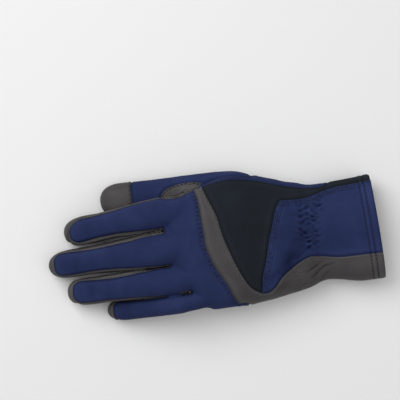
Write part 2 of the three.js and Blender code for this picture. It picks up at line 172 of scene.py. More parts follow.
# Seams on the back, as (along, across): along is 0 to 1 over the palm and 1 to 2 over the cuff, and across is
# the share of the local half width, +1 at the thumb side
SEAMS = {
    "index_edge": ((-0.3, 0.9), (0.02, 0.92), (0.1, 0.93), (0.18, 0.95), (0.24, 0.98)),
    "strip_front": (
        (0.26, 1.3), (0.27, 1.0), (0.285, 0.83), (0.29, 0.66), (0.29, 0.23), (0.29, 0.04), (0.31, -0.16),
        (0.34, -0.36), (0.4, -0.63), (0.43, -0.84), (0.46, -0.95), (0.53, -1.0), (0.55, -1.4),
    ),
    "strip_back": (
        (0.31, 1.4), (0.33, 1.0), (0.36, 0.75), (0.4, 0.46), (0.42, 0.14), (0.46, -0.2), (0.5, -0.47),
        (0.55, -0.7), (0.6, -0.81), (0.66, -0.87), (0.72, -0.83), (0.79, -0.68), (0.87, -0.56), (0.94, -0.47),
        (1.02, -0.42), (1.19, -0.49), (1.37, -0.53), (1.55, -0.5), (1.79, -0.48), (2.2, -0.52),
    ),
    "dart_back": (
        (0.6, -1.05), (0.635, -0.79), (0.65, -0.61), (0.69, -0.38), (0.74, -0.03), (0.78, 0.22), (0.81, 0.42),
        (0.85, 0.6), (0.89, 0.65), (0.98, 0.68), (1.16, 0.76), (1.34, 0.85), (1.53, 0.89), (1.71, 0.89),
        (2.2, 0.92),
    ),
    "dart_top": (
        (0.2, 1.0), (0.25, 0.99), (0.38, 0.97), (0.5, 0.95), (0.64, 0.92), (0.74, 0.91), (0.85, 0.91),
        (0.95, 0.91), (1.18, 0.93), (1.42, 0.99), (1.5, 1.4),
    ),
    "patch": (
        (0.03, 1.1), (0.07, 1.19), (0.12, 1.2), (0.18, 1.17), (0.26, 1.12), (0.31, 1.07), (0.33, 1.02),
        (0.25, 0.97), (0.13, 0.98), (0.06, 1.04),
    ),
}
# A place on the positive side of each of those seams, in millimetres
POSITIVE_SIDES = {
    "strip_front": (80.0, 0.0),
    "strip_back": (80.0, 0.0),
    "dart_back": (120.0, 0.0),
    "dart_top": (60.0, 70.0),
    "index_edge": (10.0, 70.0),
    "patch": (0.0, 0.0),
}


def smooth_column(xs: np.ndarray, ys: np.ndarray, x: np.ndarray) -> np.ndarray:
    """Smooth values through a table's rows.

    Args:
        xs: the rows' places, rising.
        ys: the column's values at those places.
        x: where the values are wanted.

    Returns:
        The values, held level past the first and last rows.
    """
    slopes = np.empty_like(ys)
    slopes[1:-1] = (ys[2:] - ys[:-2]) / (xs[2:] - xs[:-2])
    slopes[0] = (ys[1] - ys[0]) / (xs[1] - xs[0])
    slopes[-1] = (ys[-1] - ys[-2]) / (xs[-1] - xs[-2])
    x = np.clip(x, xs[0], xs[-1])
    i = np.clip(np.searchsorted(xs, x, side="right") - 1, 0, len(xs) - 2)
    step = xs[i + 1] - xs[i]
    t = (x - xs[i]) / step
    return (
        (2 * t**3 - 3 * t**2 + 1) * ys[i]
        + (t**3 - 2 * t**2 + t) * step * slopes[i]
        + (3 * t**2 - 2 * t**3) * ys[i + 1]
        + (t**3 - t**2) * step * slopes[i + 1]
    )


def smooth_min(a: np.ndarray, b: np.ndarray, reach: float) -> np.ndarray:
    """The lower of two fields, rounded where they meet.

    Args:
        a: the first field.
        b: the second field.
        reach: how wide the rounding is.

    Returns:
        The joined field.
    """
    h = np.clip(0.5 + 0.5 * (b - a) / reach, 0, 1)
    return b * (1 - h) + a * h - reach * h * (1 - h)


def signed_power(value: np.ndarray, power: float) -> np.ndarray:
    """Returns: the value's size raised to the power, with its sign kept."""
    return np.sign(value) * np.abs(value) ** power


def bell(gap: np.ndarray, reach: np.ndarray | float, power: int = 2) -> np.ndarray:
    """Returns: 1 where the gap is 0, falling past the reach, and more steeply with a higher power."""
    return np.exp(-((gap / reach) ** power))


def step_up(value: np.ndarray, reach: float, top: np.ndarray | float = 1.0) -> np.ndarray:
    """Returns: a smooth step across 0, from 0 to the top."""
    return top / (1 + np.exp(-value / reach))


class SeamLine:
    """A seam drawn on the plan, with a signed distance from it."""

    FINE = 6  # places on the smoothed line for each of the drawn line's corners

    def __init__(self, points: np.ndarray, positive: tuple[float, float], closed: bool = False) -> None:
        """Smooths the line.

        Args:
            points: its corners, in millimetres.
            positive: a place on the side where the distance is positive.
            closed: whether the line is a loop.
        """
        self.closed = closed
        if closed:
            points = np.vstack([points[-2:], points, points[:2]])
        t = np.arange(len(points), dtype=float)
        start, end = (2.0, len(points) - 2.0) if closed else (0.0, len(points) - 1.0)
        fine = np.linspace(start, end, int((end - start) * self.FINE) + 1)
        self.line = np.column_stack([smooth_column(t, points[:, k], fine) for k in (0, 1)])
        self.sign = 1.0
        self.sign = 1.0 if self.distance(np.array([positive]))[0] > 0 else -1.0

    def distance(self, plan: np.ndarray) -> np.ndarray:
        """Signed distance of each place from the line.

        Args:
            plan: places as rows of x and y.

        Returns:
            The distances in millimetres.
        """
        best = np.full(len(plan), 1e9)
        side = np.zeros(len(plan))
        for a, b in zip(self.line[:-1], self.line[1:]):
            ab = b - a
            t = np.clip(((plan - a) @ ab) / max(ab @ ab, 1e-9), 0, 1)
            gap = plan - a - t[:, None] * ab
            d = (gap**2).sum(axis=1)
            nearer = d < best
            best = np.where(nearer, d, best)
            side = np.where(nearer, ab[0] * (plan[:, 1] - a[1]) - ab[1] * (plan[:, 0] - a[0]), side)
        return np.sqrt(best) * np.sign(side) * self.sign


class HandShape:
    """The glove's form: where its surface lies and how a place on it is measured."""

    ROOT = 0.22  # how far a finger runs on into the hand, over its length
    ROOT_GIRTH = 0.4  # how thick that root's end is, over the finger's own girth
    MERGE = 0.12  # how far out of the hand a finger has its full girth, over its length
    KNUCKLE = 0.6  # where the knuckle's extra width has run out, over the length
    MEASURED = (-0.3, 1.2)  # the shares of a finger's length between which places are measured
    TIP_GIRTH = 0.87  # places past this share of a finger are measured against its girth there
    AHEAD = 0.01  # the share of a finger's length over which its direction is taken
    STEPS = 4  # steps in which a place's share of a finger is found
    STEP_DOWN = 1.1  # how much shorter each step is than the way that is left

    def __init__(self, sizes: HandSizes) -> None:
        """Turns the tables into sizes in millimetres.

        Args:
            sizes: the driving sizes.
        """
        self.sizes = s = sizes
        rows = [
            (
                along * s.palm_length, side * s.palm_width, width * s.palm_width / 2,
                depth * s.palm_depth / 2, (rise + depth / 2) * s.palm_depth, math.tan(math.radians(roll)),
                arch * s.palm_depth,
            )
            for along, side, width, rise, depth, roll, arch in HAND_ROWS
        ]
        for along, side, flare, rise in CUFF_ROWS:
            x = s.wrist_x + along * s.cuff_length
            width = s.wrist_width + (s.cuff_width - s.wrist_width) * flare
            depth = s.wrist_depth + (s.cuff_depth - s.wrist_depth) * flare
            middle = rise * s.wrist_depth + depth / 2
            rows.append((x, side * s.palm_width, width / 2, depth / 2, middle, 0.0, 0.0))
        self.rows = np.array(rows)
        self.finger_rows = np.array(FINGER_ROWS)
        self.lines = {
            name: SeamLine(self.plan(SEAMS[name]), place, closed=name == "patch")
            for name, place in POSITIVE_SIDES.items()
        }

    def hand(self, x: np.ndarray) -> dict[str, np.ndarray]:
        """Returns: the hand's section at x, as side, width, depth, middle, slope and arch in millimetres."""
        names = ("side", "width", "depth", "middle", "slope", "arch")
        return {name: smooth_column(self.rows[:, 0], self.rows[:, k + 1], x) for k, name in enumerate(names)}

    def plan(self, shares: tuple[tuple[float, float], ...]) -> np.ndarray:
        """Lays a seam's shares out on the plan.

        Args:
            shares: rows of shares along and across.

        Returns:
            Its places as rows of x and y in millimetres.
        """
        s = self.sizes
        table = np.array(shares)
        along, across = table[:, 0], table[:, 1]
        x = np.where(along <= 1, along * s.palm_length, s.wrist_x + (along - 1) * s.cuff_length)
        at = self.hand(x)
        return np.column_stack([x, at["side"] + across * at["width"]])

    def slant(self, across: np.ndarray, left: np.ndarray | float = 1.0) -> np.ndarray:
        """Returns: how far back the crotch line lies at shares across the hand, times what is left of it."""
        s = self.sizes
        return np.where(across < 0, s.crotch_slant * left * np.abs(across) ** s.slant_power, 0.0)

    def hand_place(self, u: np.ndarray, v: np.ndarray) -> np.ndarray:
        """Places points on the hand and cuff.

        Args:
            u: shares of the skin's length.
            v: turns round it.

        Returns:
            The places.
        """
        s = self.sizes
        x = u * s.skin_end
        at = self.hand(x)
        across = signed_power(np.cos(2 * np.pi * v), 2 / s.power)
        up = signed_power(np.sin(2 * np.pi * v), 2 / s.power)
        y = across * at["width"]
        z = at["middle"] + up * at["depth"] + y * at["slope"] - at["arch"] * across**2
        left = np.clip(1 - x / (s.slant_fade * s.palm_length), 0, 1)
        return np.column_stack([x + self.slant(across, left), at["side"] + y, np.maximum(z, 0)])

    def centre(self, finger: Finger, t: np.ndarray) -> np.ndarray:
        """Places points on a finger's centreline.

        Args:
            finger: the finger.
            t: shares of its length.

        Returns:
            The places.
        """
        s = self.sizes
        scale = np.array([-s.palm_length, s.palm_width, s.palm_depth])
        root, tip = np.array(finger.root) * scale, np.array(finger.tip) * scale
        bends = [t, signed_power(t, finger.swing), signed_power(t, finger.curl)]
        return np.column_stack([root[k] + (tip[k] - root[k]) * bends[k] for k in range(3)])

    def axes(self, finger: Finger, t: np.ndarray) -> tuple[np.ndarray, np.ndarray, np.ndarray]:
        """Finds a finger's own directions.

        Args:
            finger: the finger.
            t: shares of its length.

        Returns:
            The directions along, across and up there.
        """
        along = self.centre(finger, t + self.AHEAD) - self.centre(finger, t - self.AHEAD)
        along /= np.linalg.norm(along, axis=1)[:, None]
        across = np.cross(along, [0.0, 0.0, 1.0])
        across /= np.linalg.norm(across, axis=1)[:, None]
        return along, across, np.cross(across, along)

    def girth(self, finger: Finger, t: np.ndarray) -> tuple[np.ndarray, np.ndarray]:
        """Measures how thick a finger is.

        Args:
            finger: the finger.
            t: shares of its length.

        Returns:
            Its half width and half depth there.
        """
        rows = self.finger_rows
        knuckle = finger.knuckle + (1 - finger.knuckle) * np.clip(t / self.KNUCKLE, 0, 1)
        half_width = smooth_column(rows[:, 0], rows[:, 1], t) * knuckle * finger.width / 2
        return half_width, smooth_column(rows[:, 0], rows[:, 2], t) * finger.depth / 2

    def length(self, finger: Finger) -> float:
        """Returns: a finger's length along x."""
        return (finger.tip[0] - finger.root[0]) * self.sizes.palm_length

    def finger_place(self, finger: Finger, u: np.ndarray, v: np.ndarray) -> np.ndarray:
        """Places points on a finger, whose root runs on into the hand and narrows there.

        Args:
            finger: the finger.
            u: shares of the length, root included.
            v: turns round it.

        Returns:
            The places.
        """
        t = u * (1 + self.ROOT) - self.ROOT
        half_width, half_depth = self.girth(finger, t)
        into = np.clip((t + self.ROOT) / (self.ROOT + self.MERGE), 0, 1)
        merge = self.ROOT_GIRTH + (1 - self.ROOT_GIRTH) * into**2 * (3 - 2 * into)
        half_width, half_depth = half_width * merge, half_depth * merge
        _, across, up = self.axes(finger, t)
        side = half_width * signed_power(np.cos(2 * np.pi * v), 2 / self.sizes.power)
        rise = half_depth * signed_power(np.sin(2 * np.pi * v), 2 / self.sizes.power)
        place = self.centre(finger, t) + side[:, None] * across + rise[:, None] * up
        place[:, 2] = np.maximum(place[:, 2], 0)
        return place

    def on_finger(self, finger: Finger, places: np.ndarray) -> dict[str, np.ndarray]:
        """Measures places against a finger.

        Args:
            finger: the finger.
            places: rows of x, y and z.

        Returns:
            t along it, u across and w up from its centreline in millimetres, its half width and half depth
            there, and q, which is 1 on its surface.
        """
        root_x = -finger.root[0] * self.sizes.palm_length
        t = (root_x - places[:, 0]) / self.length(finger)
        for _ in range(self.STEPS):
            t = np.clip(t, *self.MEASURED)
            along = self.axes(finger, t)[0]
            gap = places - self.centre(finger, t)
            t = t + (gap * along).sum(axis=1) / (self.STEP_DOWN * self.length(finger))
        _, across, up = self.axes(finger, t)
        gap = places - self.centre(finger, t)
        u, w = (gap * across).sum(axis=1), (gap * up).sum(axis=1)
        half_width, half_depth = self.girth(finger, np.clip(t, 0, self.TIP_GIRTH))
        p = self.sizes.power
        q = (np.abs(u / half_width) ** p + np.abs(w / half_depth) ** p) ** (1 / p)
        return {"t": t, "u": u, "w": w, "half_width": half_width, "half_depth": half_depth, "q": q}

    def on_hand(self, places: np.ndarray) -> dict[str, np.ndarray]:
        """Measures places against the hand and cuff.

        Args:
            places: rows of x, y and z.

        Returns:
            q, which is 1 on the surface, seam, the height over the side seam, and front, the distance behind
            the crotch line.
        """
        x, y, z = places.T
        at = self.hand(x)
        across = (y - at["side"]) / at["width"]
        level = at["middle"] + (y - at["side"]) * at["slope"] - at["arch"] * np.minimum(across**2, 1)
        p = self.sizes.power
        q = (np.abs(across) ** p + np.abs((z - level) / at["depth"]) ** p) ** (1 / p)
        seam = z - (level - self.sizes.side_seam * at["depth"])
        return {"q": q, "seam": seam, "front": x - self.slant(np.clip(across, -1, 1))}


@dataclass(frozen=True)
class PanelEdges:
    """Where the panels end on the fingers and the thumb.

    Sizes marked mm are in millimetres. The others are shares of a finger's half width or half depth.
    """

    tip_band: float = 7.0  # mm of leather over a fingertip
    thumb_tip: float = 24.0  # mm of leather over the thumb's tip
    crotch_band: float = 1.8  # mm of leather behind the crotch line
    cloth_blend: float = 2.5  # mm over which the hand's cloth runs into a finger's
    palm_blend: float = 2.0  # mm over which the palm's leather does
    corner: float = 0.5  # rounding of a panel's end
    cloth: float = 0.83  # half width of the cloth on a finger's back
    knuckle_cloth: float = 0.15  # how much wider it is at the knuckle
    knuckle_at: float = 0.24  # the knuckle's place, as a share of the finger's length
    knuckle_reach: float = 0.275  # and its reach
    cloth_low: float = 0.12  # how high the cloth's edge lies
    palm: float = 0.82  # half width of the leather on a finger's front
    palm_low: float = 0.4  # how low that leather's edge lies
    outer_cloth: float = 0.86  # the cloth's half width on the little finger's outer side
    outer_low: float = 0.35  # how low its edge lies there
    thumb_low: float = 0.25  # how low the thumb's cloth reaches
    q_scale: float = 20.0  # mm that a change of 1 in q stands for


class PanelMap:
    """Which panel each place on the skin belongs to, and the fields whose zero lines are the seams."""

    EDGES = PanelEdges()
    THUMB_BOX = (70.0, 20.0)  # the thumb's panels lie before this x and beyond this y, in millimetres
    CUFF_FRONT_FROM = 60.0  # under the side seam, what isn't the palm behind this x is the cuff's front

    def __init__(self, shape: HandShape) -> None:
        """Keeps the form.

        Args:
            shape: the glove's form.
        """
        self.shape = shape

    @staticmethod
    def rounded_end(side: np.ndarray, end: np.ndarray, radius: np.ndarray) -> np.ndarray:
        """Returns: the distance outside a strip's rounded end, from those outside its side and its end."""
        qx, qy = side + radius, end + radius
        return np.hypot(np.maximum(qx, 0), np.maximum(qy, 0)) + np.minimum(np.maximum(qx, qy), 0) - radius

    def on_finger(self, finger: Finger, at: dict[str, np.ndarray]) -> tuple[np.ndarray, np.ndarray]:
        """Draws the cloth on a finger's back and the leather on its palm side.

        Args:
            finger: the finger.
            at: the places, measured against it.

        Returns:
            The distances outside the cloth and outside the leather.
        """
        e = self.EDGES
        length = self.shape.length(finger)
        end = (at["t"] - 1) * length + e.tip_band
        root = -at["t"] * length
        radius = e.corner * at["half_width"]
        cover = e.cloth + e.knuckle_cloth * bell(at["t"] - e.knuckle_at, e.knuckle_reach)
        side = np.abs(at["u"]) - cover * at["half_width"]
        low = e.cloth_low * at["half_depth"] - at["w"]
        under = at["w"] + e.palm_low * at["half_depth"]
        palm_side = np.abs(at["u"]) - e.palm * at["half_width"]
        if finger.name == "pinky":
            outer = at["u"] < 0
            side = np.where(outer, -e.outer_cloth * at["half_width"], side)
            low = np.where(outer, -e.outer_low * at["half_depth"] - at["w"], low)
            palm_side = np.where(outer, -e.palm * at["half_width"], palm_side)
        cloth = np.maximum.reduce([self.rounded_end(side, end, radius), low, root])
        leather = np.maximum.reduce([self.rounded_end(palm_side, end, radius), under, root])
        return cloth, leather

    def fields(self, places: np.ndarray) -> dict[str, np.ndarray]:
        """Evaluates every seam's field.

        Args:
            places: rows of x, y and z.

        Returns:
            The fields by name, in millimetres, negative inside back, palm, thumb_back and patch.
        """
        shape, e = self.shape, self.EDGES
        hand = shape.on_hand(places)
        fingers = [shape.on_finger(finger, places) for finger in FINGERS]
        thumb = shape.on_finger(THUMB, places)
        lines = {name: line.distance(places[:, :2]) for name, line in shape.lines.items()}
        index_edge = lines.pop("index_edge")
        before = e.crotch_band - hand["front"]
        back = np.maximum.reduce([lines["strip_front"], index_edge, -hand["seam"], before])
        palm = np.maximum(hand["seam"], before)
        for finger, at in zip(FINGERS, fingers):
            cloth, leather = self.on_finger(finger, at)
            back = smooth_min(back, cloth, e.cloth_blend)
            palm = smooth_min(palm, leather, e.palm_blend)
        thumb_end = (thumb["t"] - 1) * shape.length(THUMB) + e.thumb_tip
        fields = {
            "back": back,
            "palm": palm,
            "side": hand["seam"],
            "wrist": places[:, 0] - shape.sizes.wrist_x,
            "thumb": (hand["q"] - thumb["q"]) * e.q_scale,
            "thumb_back": np.maximum(thumb_end, -e.thumb_low * thumb["half_depth"] - thumb["w"]),
            "above_thumb": thumb["w"],
            **lines,
        }
        for k, (upper, lower) in enumerate(zip(fingers, fingers[1:])):
            gap = lower["u"] - lower["half_width"] - (-upper["half_width"] - upper["u"])
            fields[f"between_{k}"] = gap / 2
        return fields

    def label(self, places: np.ndarray) -> np.ndarray:
        """Finds each place's panel.

        Args:
            places: rows of x, y and z.

        Returns:
            The panels' numbers in PANELS.
        """
        f = self.fields(places)
        x, y = places[:, 0], places[:, 1]
        number = {panel: k for k, panel in enumerate(PANELS)}
        gusset = np.select(
            [f["between_0"] > 0, f["between_1"] > 0, f["between_2"] > 0],
            [number[Panel.INDEX], number[Panel.MIDDLE], number[Panel.RING]],
            number[Panel.PINKY],
        )
        upper = np.select(
            [f["strip_front"] < 0, f["dart_top"] > 0, f["strip_back"] < 0, f["dart_back"] < 0],
            [gusset, number[Panel.RADIAL], number[Panel.STRIP], number[Panel.DART]],
            number[Panel.CUFF_BACK],
        )
        on_thumb = (f["thumb"] > 0) & (x < self.THUMB_BOX[0]) & (y > self.THUMB_BOX[1])
        thumb = np.where(f["thumb_back"] < 0, number[Panel.THUMB_BACK], number[Panel.THUMB_FRONT])
        choices = (
            ((f["patch"] < 0) & (f["above_thumb"] > 0) & ((f["side"] > 0) | on_thumb), number[Panel.PATCH]),
            (on_thumb, thumb),
            (f["back"] < 0, number[Panel.BACK]),
            ((f["palm"] < 0) & (f["wrist"] < 0), number[Panel.PALM]),
            ((f["side"] < 0) & (x > self.CUFF_FRONT_FROM), number[Panel.CUFF_FRONT]),
            (x < 0, gusset),
        )
        return np.select([where for where, _ in choices], [panel for _, panel in choices], upper)


NEAR_SEAM = 1.0  # how far past another seam a seam is still cut, in millimetres


@dataclass(frozen=True)
class SeamRange:
    """Where the zero line of a field is a seam.

    above and below name the fields that are over 0 and under 0 there, give or take NEAR_SEAM. The others are
    limits of x and y in millimetres.
    """

    field: str
    above: tuple[str, ...] = ()
    below: tuple[str, ...] = ()
    x_from: float = -math.inf
    x_to: float = math.inf
    y_from: float = -math.inf

    def holds(self, vert: bmesh.types.BMVert, layers: dict[str, bmesh.types.BMLayerItem]) -> bool:
        """Looks whether a vertex lies in the range.

        Args:
            vert: the vertex.
            layers: every field's layer on the vertices.

        Returns:
            Whether it does.
        """
        return (
            self.x_from < vert.co.x < self.x_to
            and vert.co.y > self.y_from
            and all(vert[layers[name]] > -NEAR_SEAM for name in self.above)
            and all(vert[layers[name]] < NEAR_SEAM for name in self.below)
        )


SEAM_RANGES = (
    SeamRange("back", x_to=62),
    SeamRange("palm", x_to=101),
    SeamRange("side", x_from=98),
    SeamRange("wrist", below=("side",)),
    SeamRange("strip_front", ("side",), x_from=10),
    SeamRange("dart_top", ("side", "strip_front"), y_from=0),
    SeamRange("strip_back", ("side", "strip_front")),
    SeamRange("dart_back", ("side", "strip_back")),
    SeamRange("thumb", x_to=75, y_from=15),
    SeamRange("thumb_back", ("thumb",), x_to=75, y_from=15),
    SeamRange("patch", ("above_thumb",), y_from=15),
    SeamRange("between_0", ("back", "palm"), x_to=30),
    SeamRange("between_1", ("back", "palm"), x_to=30),
    SeamRange("between_2", ("back", "palm"), x_to=40),
)


class GloveSkin:
    """The glove's whole outer surface as one mesh, cut along its seams."""

    VOXEL = 0.92
    COARSE_VOXEL = 1.5
    ON_LINE = 0.12  # a vertex this near a seam counts as on it
    HAND_GRID = (90, 96)  # rings along the hand's tube and sides round it
    FINGER_GRID = (60, 48)
    EVENED = 5  # times that the whole skin is evened out
    HOLLOW = (6.0, 46.0, -35.0)  # x from and to, and y below: the hollow behind the little finger's root
    HOLLOW_EVENED = 55
    HOLLOW_EVENED_COARSE = 20
    FINE_BAND = (88.0, 122.0)  # x from and to: the gathered elastic, whose faces are halved
    REFINED = 0.4  # how far past a sewn seam's reach the faces are halved, in millimetres

    def __init__(self, shape: HandShape, panels: PanelMap) -> None:
        """Keeps the form and the seams.

        Args:
            shape: the glove's form.
            panels: the seams' fields and the panels.
        """
        self.shape = shape
        self.panels = panels
        self.bm = bmesh.new()

    @staticmethod
    def tube(
        bm: bmesh.types.BMesh,
        place: Callable[[np.ndarray, np.ndarray], np.ndarray],
        rings: int,
        sides: int,
    ) -> None:
        """Bends a grid into a closed tube.

        Args:
            bm: the mesh that the tube joins.
            place: gives places from shares along and turns round.
            rings: steps along.
            sides: steps round.
        """
        verts = bmesh.ops.create_grid(bm, x_segments=rings, y_segments=sides, size=0.5)["verts"]
        flat = np.array([v.co[:] for v in verts]) + 0.5
        for vert, spot in zip(verts, place(flat[:, 0], flat[:, 1])):
            vert.co = spot
        bmesh.ops.remove_doubles(bm, verts=verts, dist=1e-3)
        bmesh.ops.holes_fill(bm, edges=[e for e in bm.edges if e.is_boundary], sides=0)

    def build(self) -> bmesh.types.BMesh:
        """Joins the hand, the fingers and the thumb into one skin and cuts its seams.

        Returns:
            The skin in millimetres, with each face's panel in the layer "panel".
        """
        tubes = bmesh.new()
        self.tube(tubes, self.shape.hand_place, *self.HAND_GRID)
        for finger in (*FINGERS, THUMB):
            self.tube(tubes, lambda u, v, f=finger: self.shape.finger_place(f, u, v), *self.FINGER_GRID)
        bmesh.ops.recalc_face_normals(tubes, faces=tubes.faces)
        mesh = bpy.data.meshes.new("skin_form")
        tubes.to_mesh(mesh)
        tubes.free()
        form = bpy.data.objects.new("skin_form", mesh)
        bpy.context.scene.collection.objects.link(form)
        joined = form.modifiers.new("joined", "REMESH")
        joined.mode = "VOXEL"
        joined.voxel_size = self.VOXEL
        self.bm.from_object(form, bpy.context.evaluated_depsgraph_get())
        bpy.data.objects.remove(form)
        bpy.data.meshes.remove(mesh)
        bm = self.bm
        self.soften(list(bm.verts), self.EVENED)
        front, rear, edge = self.HOLLOW
        hollow = [v for v in bm.verts if front < v.co.x < rear and v.co.y < edge]
        self.soften(hollow, self.HOLLOW_EVENED)
        everything = [*bm.verts, *bm.edges, *bm.faces]
        mouth = (self.shape.sizes.mouth_x, 0, 0)
        bmesh.ops.bisect_plane(bm, geom=everything, plane_co=mouth, plane_no=(1, 0, 0), clear_outer=True)
        front, rear = self.FINE_BAND
        band = [e for e in bm.edges if all(front < v.co.x < rear for v in e.verts)]
        bmesh.ops.subdivide_edges(bm, edges=band, cuts=1, use_grid_fill=True)
        self.cut_seams()
        self.name_panels()
        self.refine_seams()
        return bm

    def soften(self, verts: list[bmesh.types.BMVert], times: int) -> None:
        """Evens out part of the form.

        Args:
            verts: the vertices that move.
            times: how many times each moves halfway to the middle of its neighbours.
        """
        for _ in range(times):
            bmesh.ops.smooth_vert(
                self.bm, verts=verts, factor=0.5, use_axis_x=True, use_axis_y=True, use_axis_z=True
            )

    def cut_seams(self) -> None:
        """Cuts the skin along the zero line of each seam's field, where that field is a seam."""
        bm = self.bm
        places = np.array([v.co[:] for v in bm.verts])
        fields = self.panels.fields(places)
        layers = {name: bm.verts.layers.float.new(name) for name in fields}
        for name, layer in layers.items():
            for vert, value in zip(bm.verts, fields[name].tolist()):
                vert[layer] = value
        for seam in SEAM_RANGES:
            self.cut(seam, layers)
        for name in fields:
            bm.verts.layers.float.remove(bm.verts.layers.float[name])

    def cut(self, seam: SeamRange, layers: dict[str, bmesh.types.BMLayerItem]) -> None:
        """Adds edges along the zero line of one field.

        Args:
            seam: the field, and where it is a seam.
            layers: every field's layer on the vertices.
        """
        bm, layer = self.bm, layers[seam.field]
        on_line = []
        for vert in bm.verts:
            if abs(vert[layer]) < self.ON_LINE:
                vert[layer] = 0.0
                if seam.holds(vert, layers):
                    on_line.append(vert)
        crossing = [e for e in bm.edges if e.verts[0][layer] * e.verts[1][layer] < 0]
        for edge in crossing:
            a, b = edge.verts
            if not seam.holds(a, layers):
                continue
            _, vert = bmesh.utils.edge_split(edge, a, a[layer] / (a[layer] - b[layer]))
            vert[layer] = 0.0
            on_line.append(vert)
        bmesh.ops.connect_verts(bm, verts=on_line)

    def name_panels(self) -> None:
        """Writes each face's panel in the layer "panel"."""
        centres = np.array([f.calc_center_median()[:] for f in self.bm.faces])
        layer = self.bm.faces.layers.int.new("panel")
        for face, panel in zip(self.bm.faces, self.panels.label(centres).tolist()):
            face[layer] = panel

    def refine_seams(self) -> None:
        """Halves the faces beside each seam, so that its folded edges and sewn rows are crisp."""
        distance, styles, _ = nearest_seams(self.bm)
        found = zip(self.bm.verts, distance, styles)
        near = {v for v, gap, style in found if gap < style.reach + self.REFINED}
        edges = [e for e in self.bm.edges if any(v in near for v in e.verts)]
        bmesh.ops.subdivide_edges(self.bm, edges=edges, cuts=1, use_grid_fill=True)


class Thread(Enum):
    """The threads that the glove is sewn with: piece name and a slot, which isn't used; each thread's finish
    comes from THREAD_FINISHES.
    """

    NAVY = ("navy_stitching", "navy_fabric")
    DARK = ("dark_stitching", "charcoal_fabric")
    GREY = ("grey_stitching", "grey_leather")


@dataclass(frozen=True)
class SeamStyle:
    """How a sewn seam stands: the folded panels' edge rises, and the other panel dips beside it.

    lift is how far the edge rises, reach how wide it is, valley how deep the seam lies, and rows are the
    distances of the sewn rows from the seam, on the folded panel, in millimetres.
    """

    folded: tuple[Panel, ...]
    other: tuple[Panel, ...]
    lift: float
    reach: float
    valley: float
    rows: tuple[float, ...] = ()
    thread: Thread = Thread.DARK


ALL_BUT_PATCH = tuple(p for p in Panel if p is not Panel.PATCH)
STYLES = (
    SeamStyle((Panel.BACK,), (Panel.STRIP,), 0.4, 3.2, 0.6, (1.6, 3.0), Thread.DARK),
    SeamStyle((Panel.STRIP,), (Panel.DART,), 0.35, 2.2, 0.55, (1.1,), Thread.GREY),
    SeamStyle((Panel.CUFF_BACK,), (Panel.DART,), 0.4, 5.6, 0.6, (1.4, 3.0, 4.6), Thread.NAVY),
    SeamStyle((Panel.RADIAL,), (Panel.DART,), 0.25, 2.0, 0.45, (1.3,), Thread.NAVY),
    SeamStyle((Panel.STRIP,), (Panel.CUFF_BACK,), 0.5, 1.3, 0.6),
    SeamStyle(GUSSETS, (Panel.BACK,), 0.6, 1.6, 0.6, (), Thread.GREY),
    SeamStyle(GUSSETS, (Panel.PALM,), 0.3, 1.4, 0.4, (1.1,), Thread.GREY),
    SeamStyle((Panel.PATCH,), ALL_BUT_PATCH, 0.25, 3.0, 0.5, (1.5,), Thread.DARK),
    SeamStyle((Panel.THUMB_FRONT,), (Panel.THUMB_BACK,), 0.35, 1.9, 0.5, (1.3,), Thread.DARK),
    SeamStyle((Panel.PALM,), (Panel.CUFF_FRONT,), 0.35, 6.0, 0.5, (1.4, 3.2, 5.0), Thread.GREY),
)
PLAIN_SEAM = SeamStyle((), (), 0.0, 1.5, 0.45)


def nearest_seams(bm: bmesh.types.BMesh) -> tuple[np.ndarray, list[SeamStyle], np.ndarray]:
    """Finds the nearest seam to each vertex of the skin.

    Args:
        bm: the skin, with its panels named.

    Returns:
        The distance, the seam's style, and whether the vertex is on a folded panel.
    """
    panel = bm.faces.layers.int["panel"]
    styles: dict[tuple[int, int], SeamStyle] = {}
    for style in STYLES:
        for a in style.folded:
            for b in style.other:
                styles.setdefault((PANELS.index(a), PANELS.index(b)), style)
                styles.setdefault((PANELS.index(b), PANELS.index(a)), style)
    spots, kinds = [], []
    for edge in bm.edges:
        names = {f[panel] for f in edge.link_faces}
        if len(names) != 2:
            continue
        a, b = (v.co.copy() for v in edge.verts)
        style = styles.get(tuple(names), PLAIN_SEAM)
        spots += [a, (a + b) / 2, b]
        kinds += [style] * 3
    tree = KDTree(len(spots))
    for k, spot in enumerate(spots):
        tree.insert(spot, k)
    tree.balance()
    found = [tree.find(v.co) for v in bm.verts]
    nearest = [kinds[index] for _, index, _ in found]
    pairs = zip(bm.verts, nearest)
    folded = np.array([PANELS[v.link_faces[0][panel]] in style.folded for v, style in pairs])
    return np.array([gap for _, _, gap in found]), nearest, folded


@dataclass(frozen=True)
class SewnEdge:
    """How the skin lies beside a seam: sizes in millimetres.

    The seam's own line takes line_share of its style's valley over line_reach. The folded edge rises from
    fold_from on, and each sewn row sinks in. The other side dips at side_at and puffs up a little at puff_at.
    """

    line_share: float = 0.5
    line_reach: float = 0.55
    fold_from: float = 0.7
    row_depth: float = 0.4
    row_reach: float = 0.45
    side_at: float = 0.6
    side_reach: float = 0.8
    puff: float = 0.18
    puff_at: float = 3.2
    puff_reach: float = 1.6


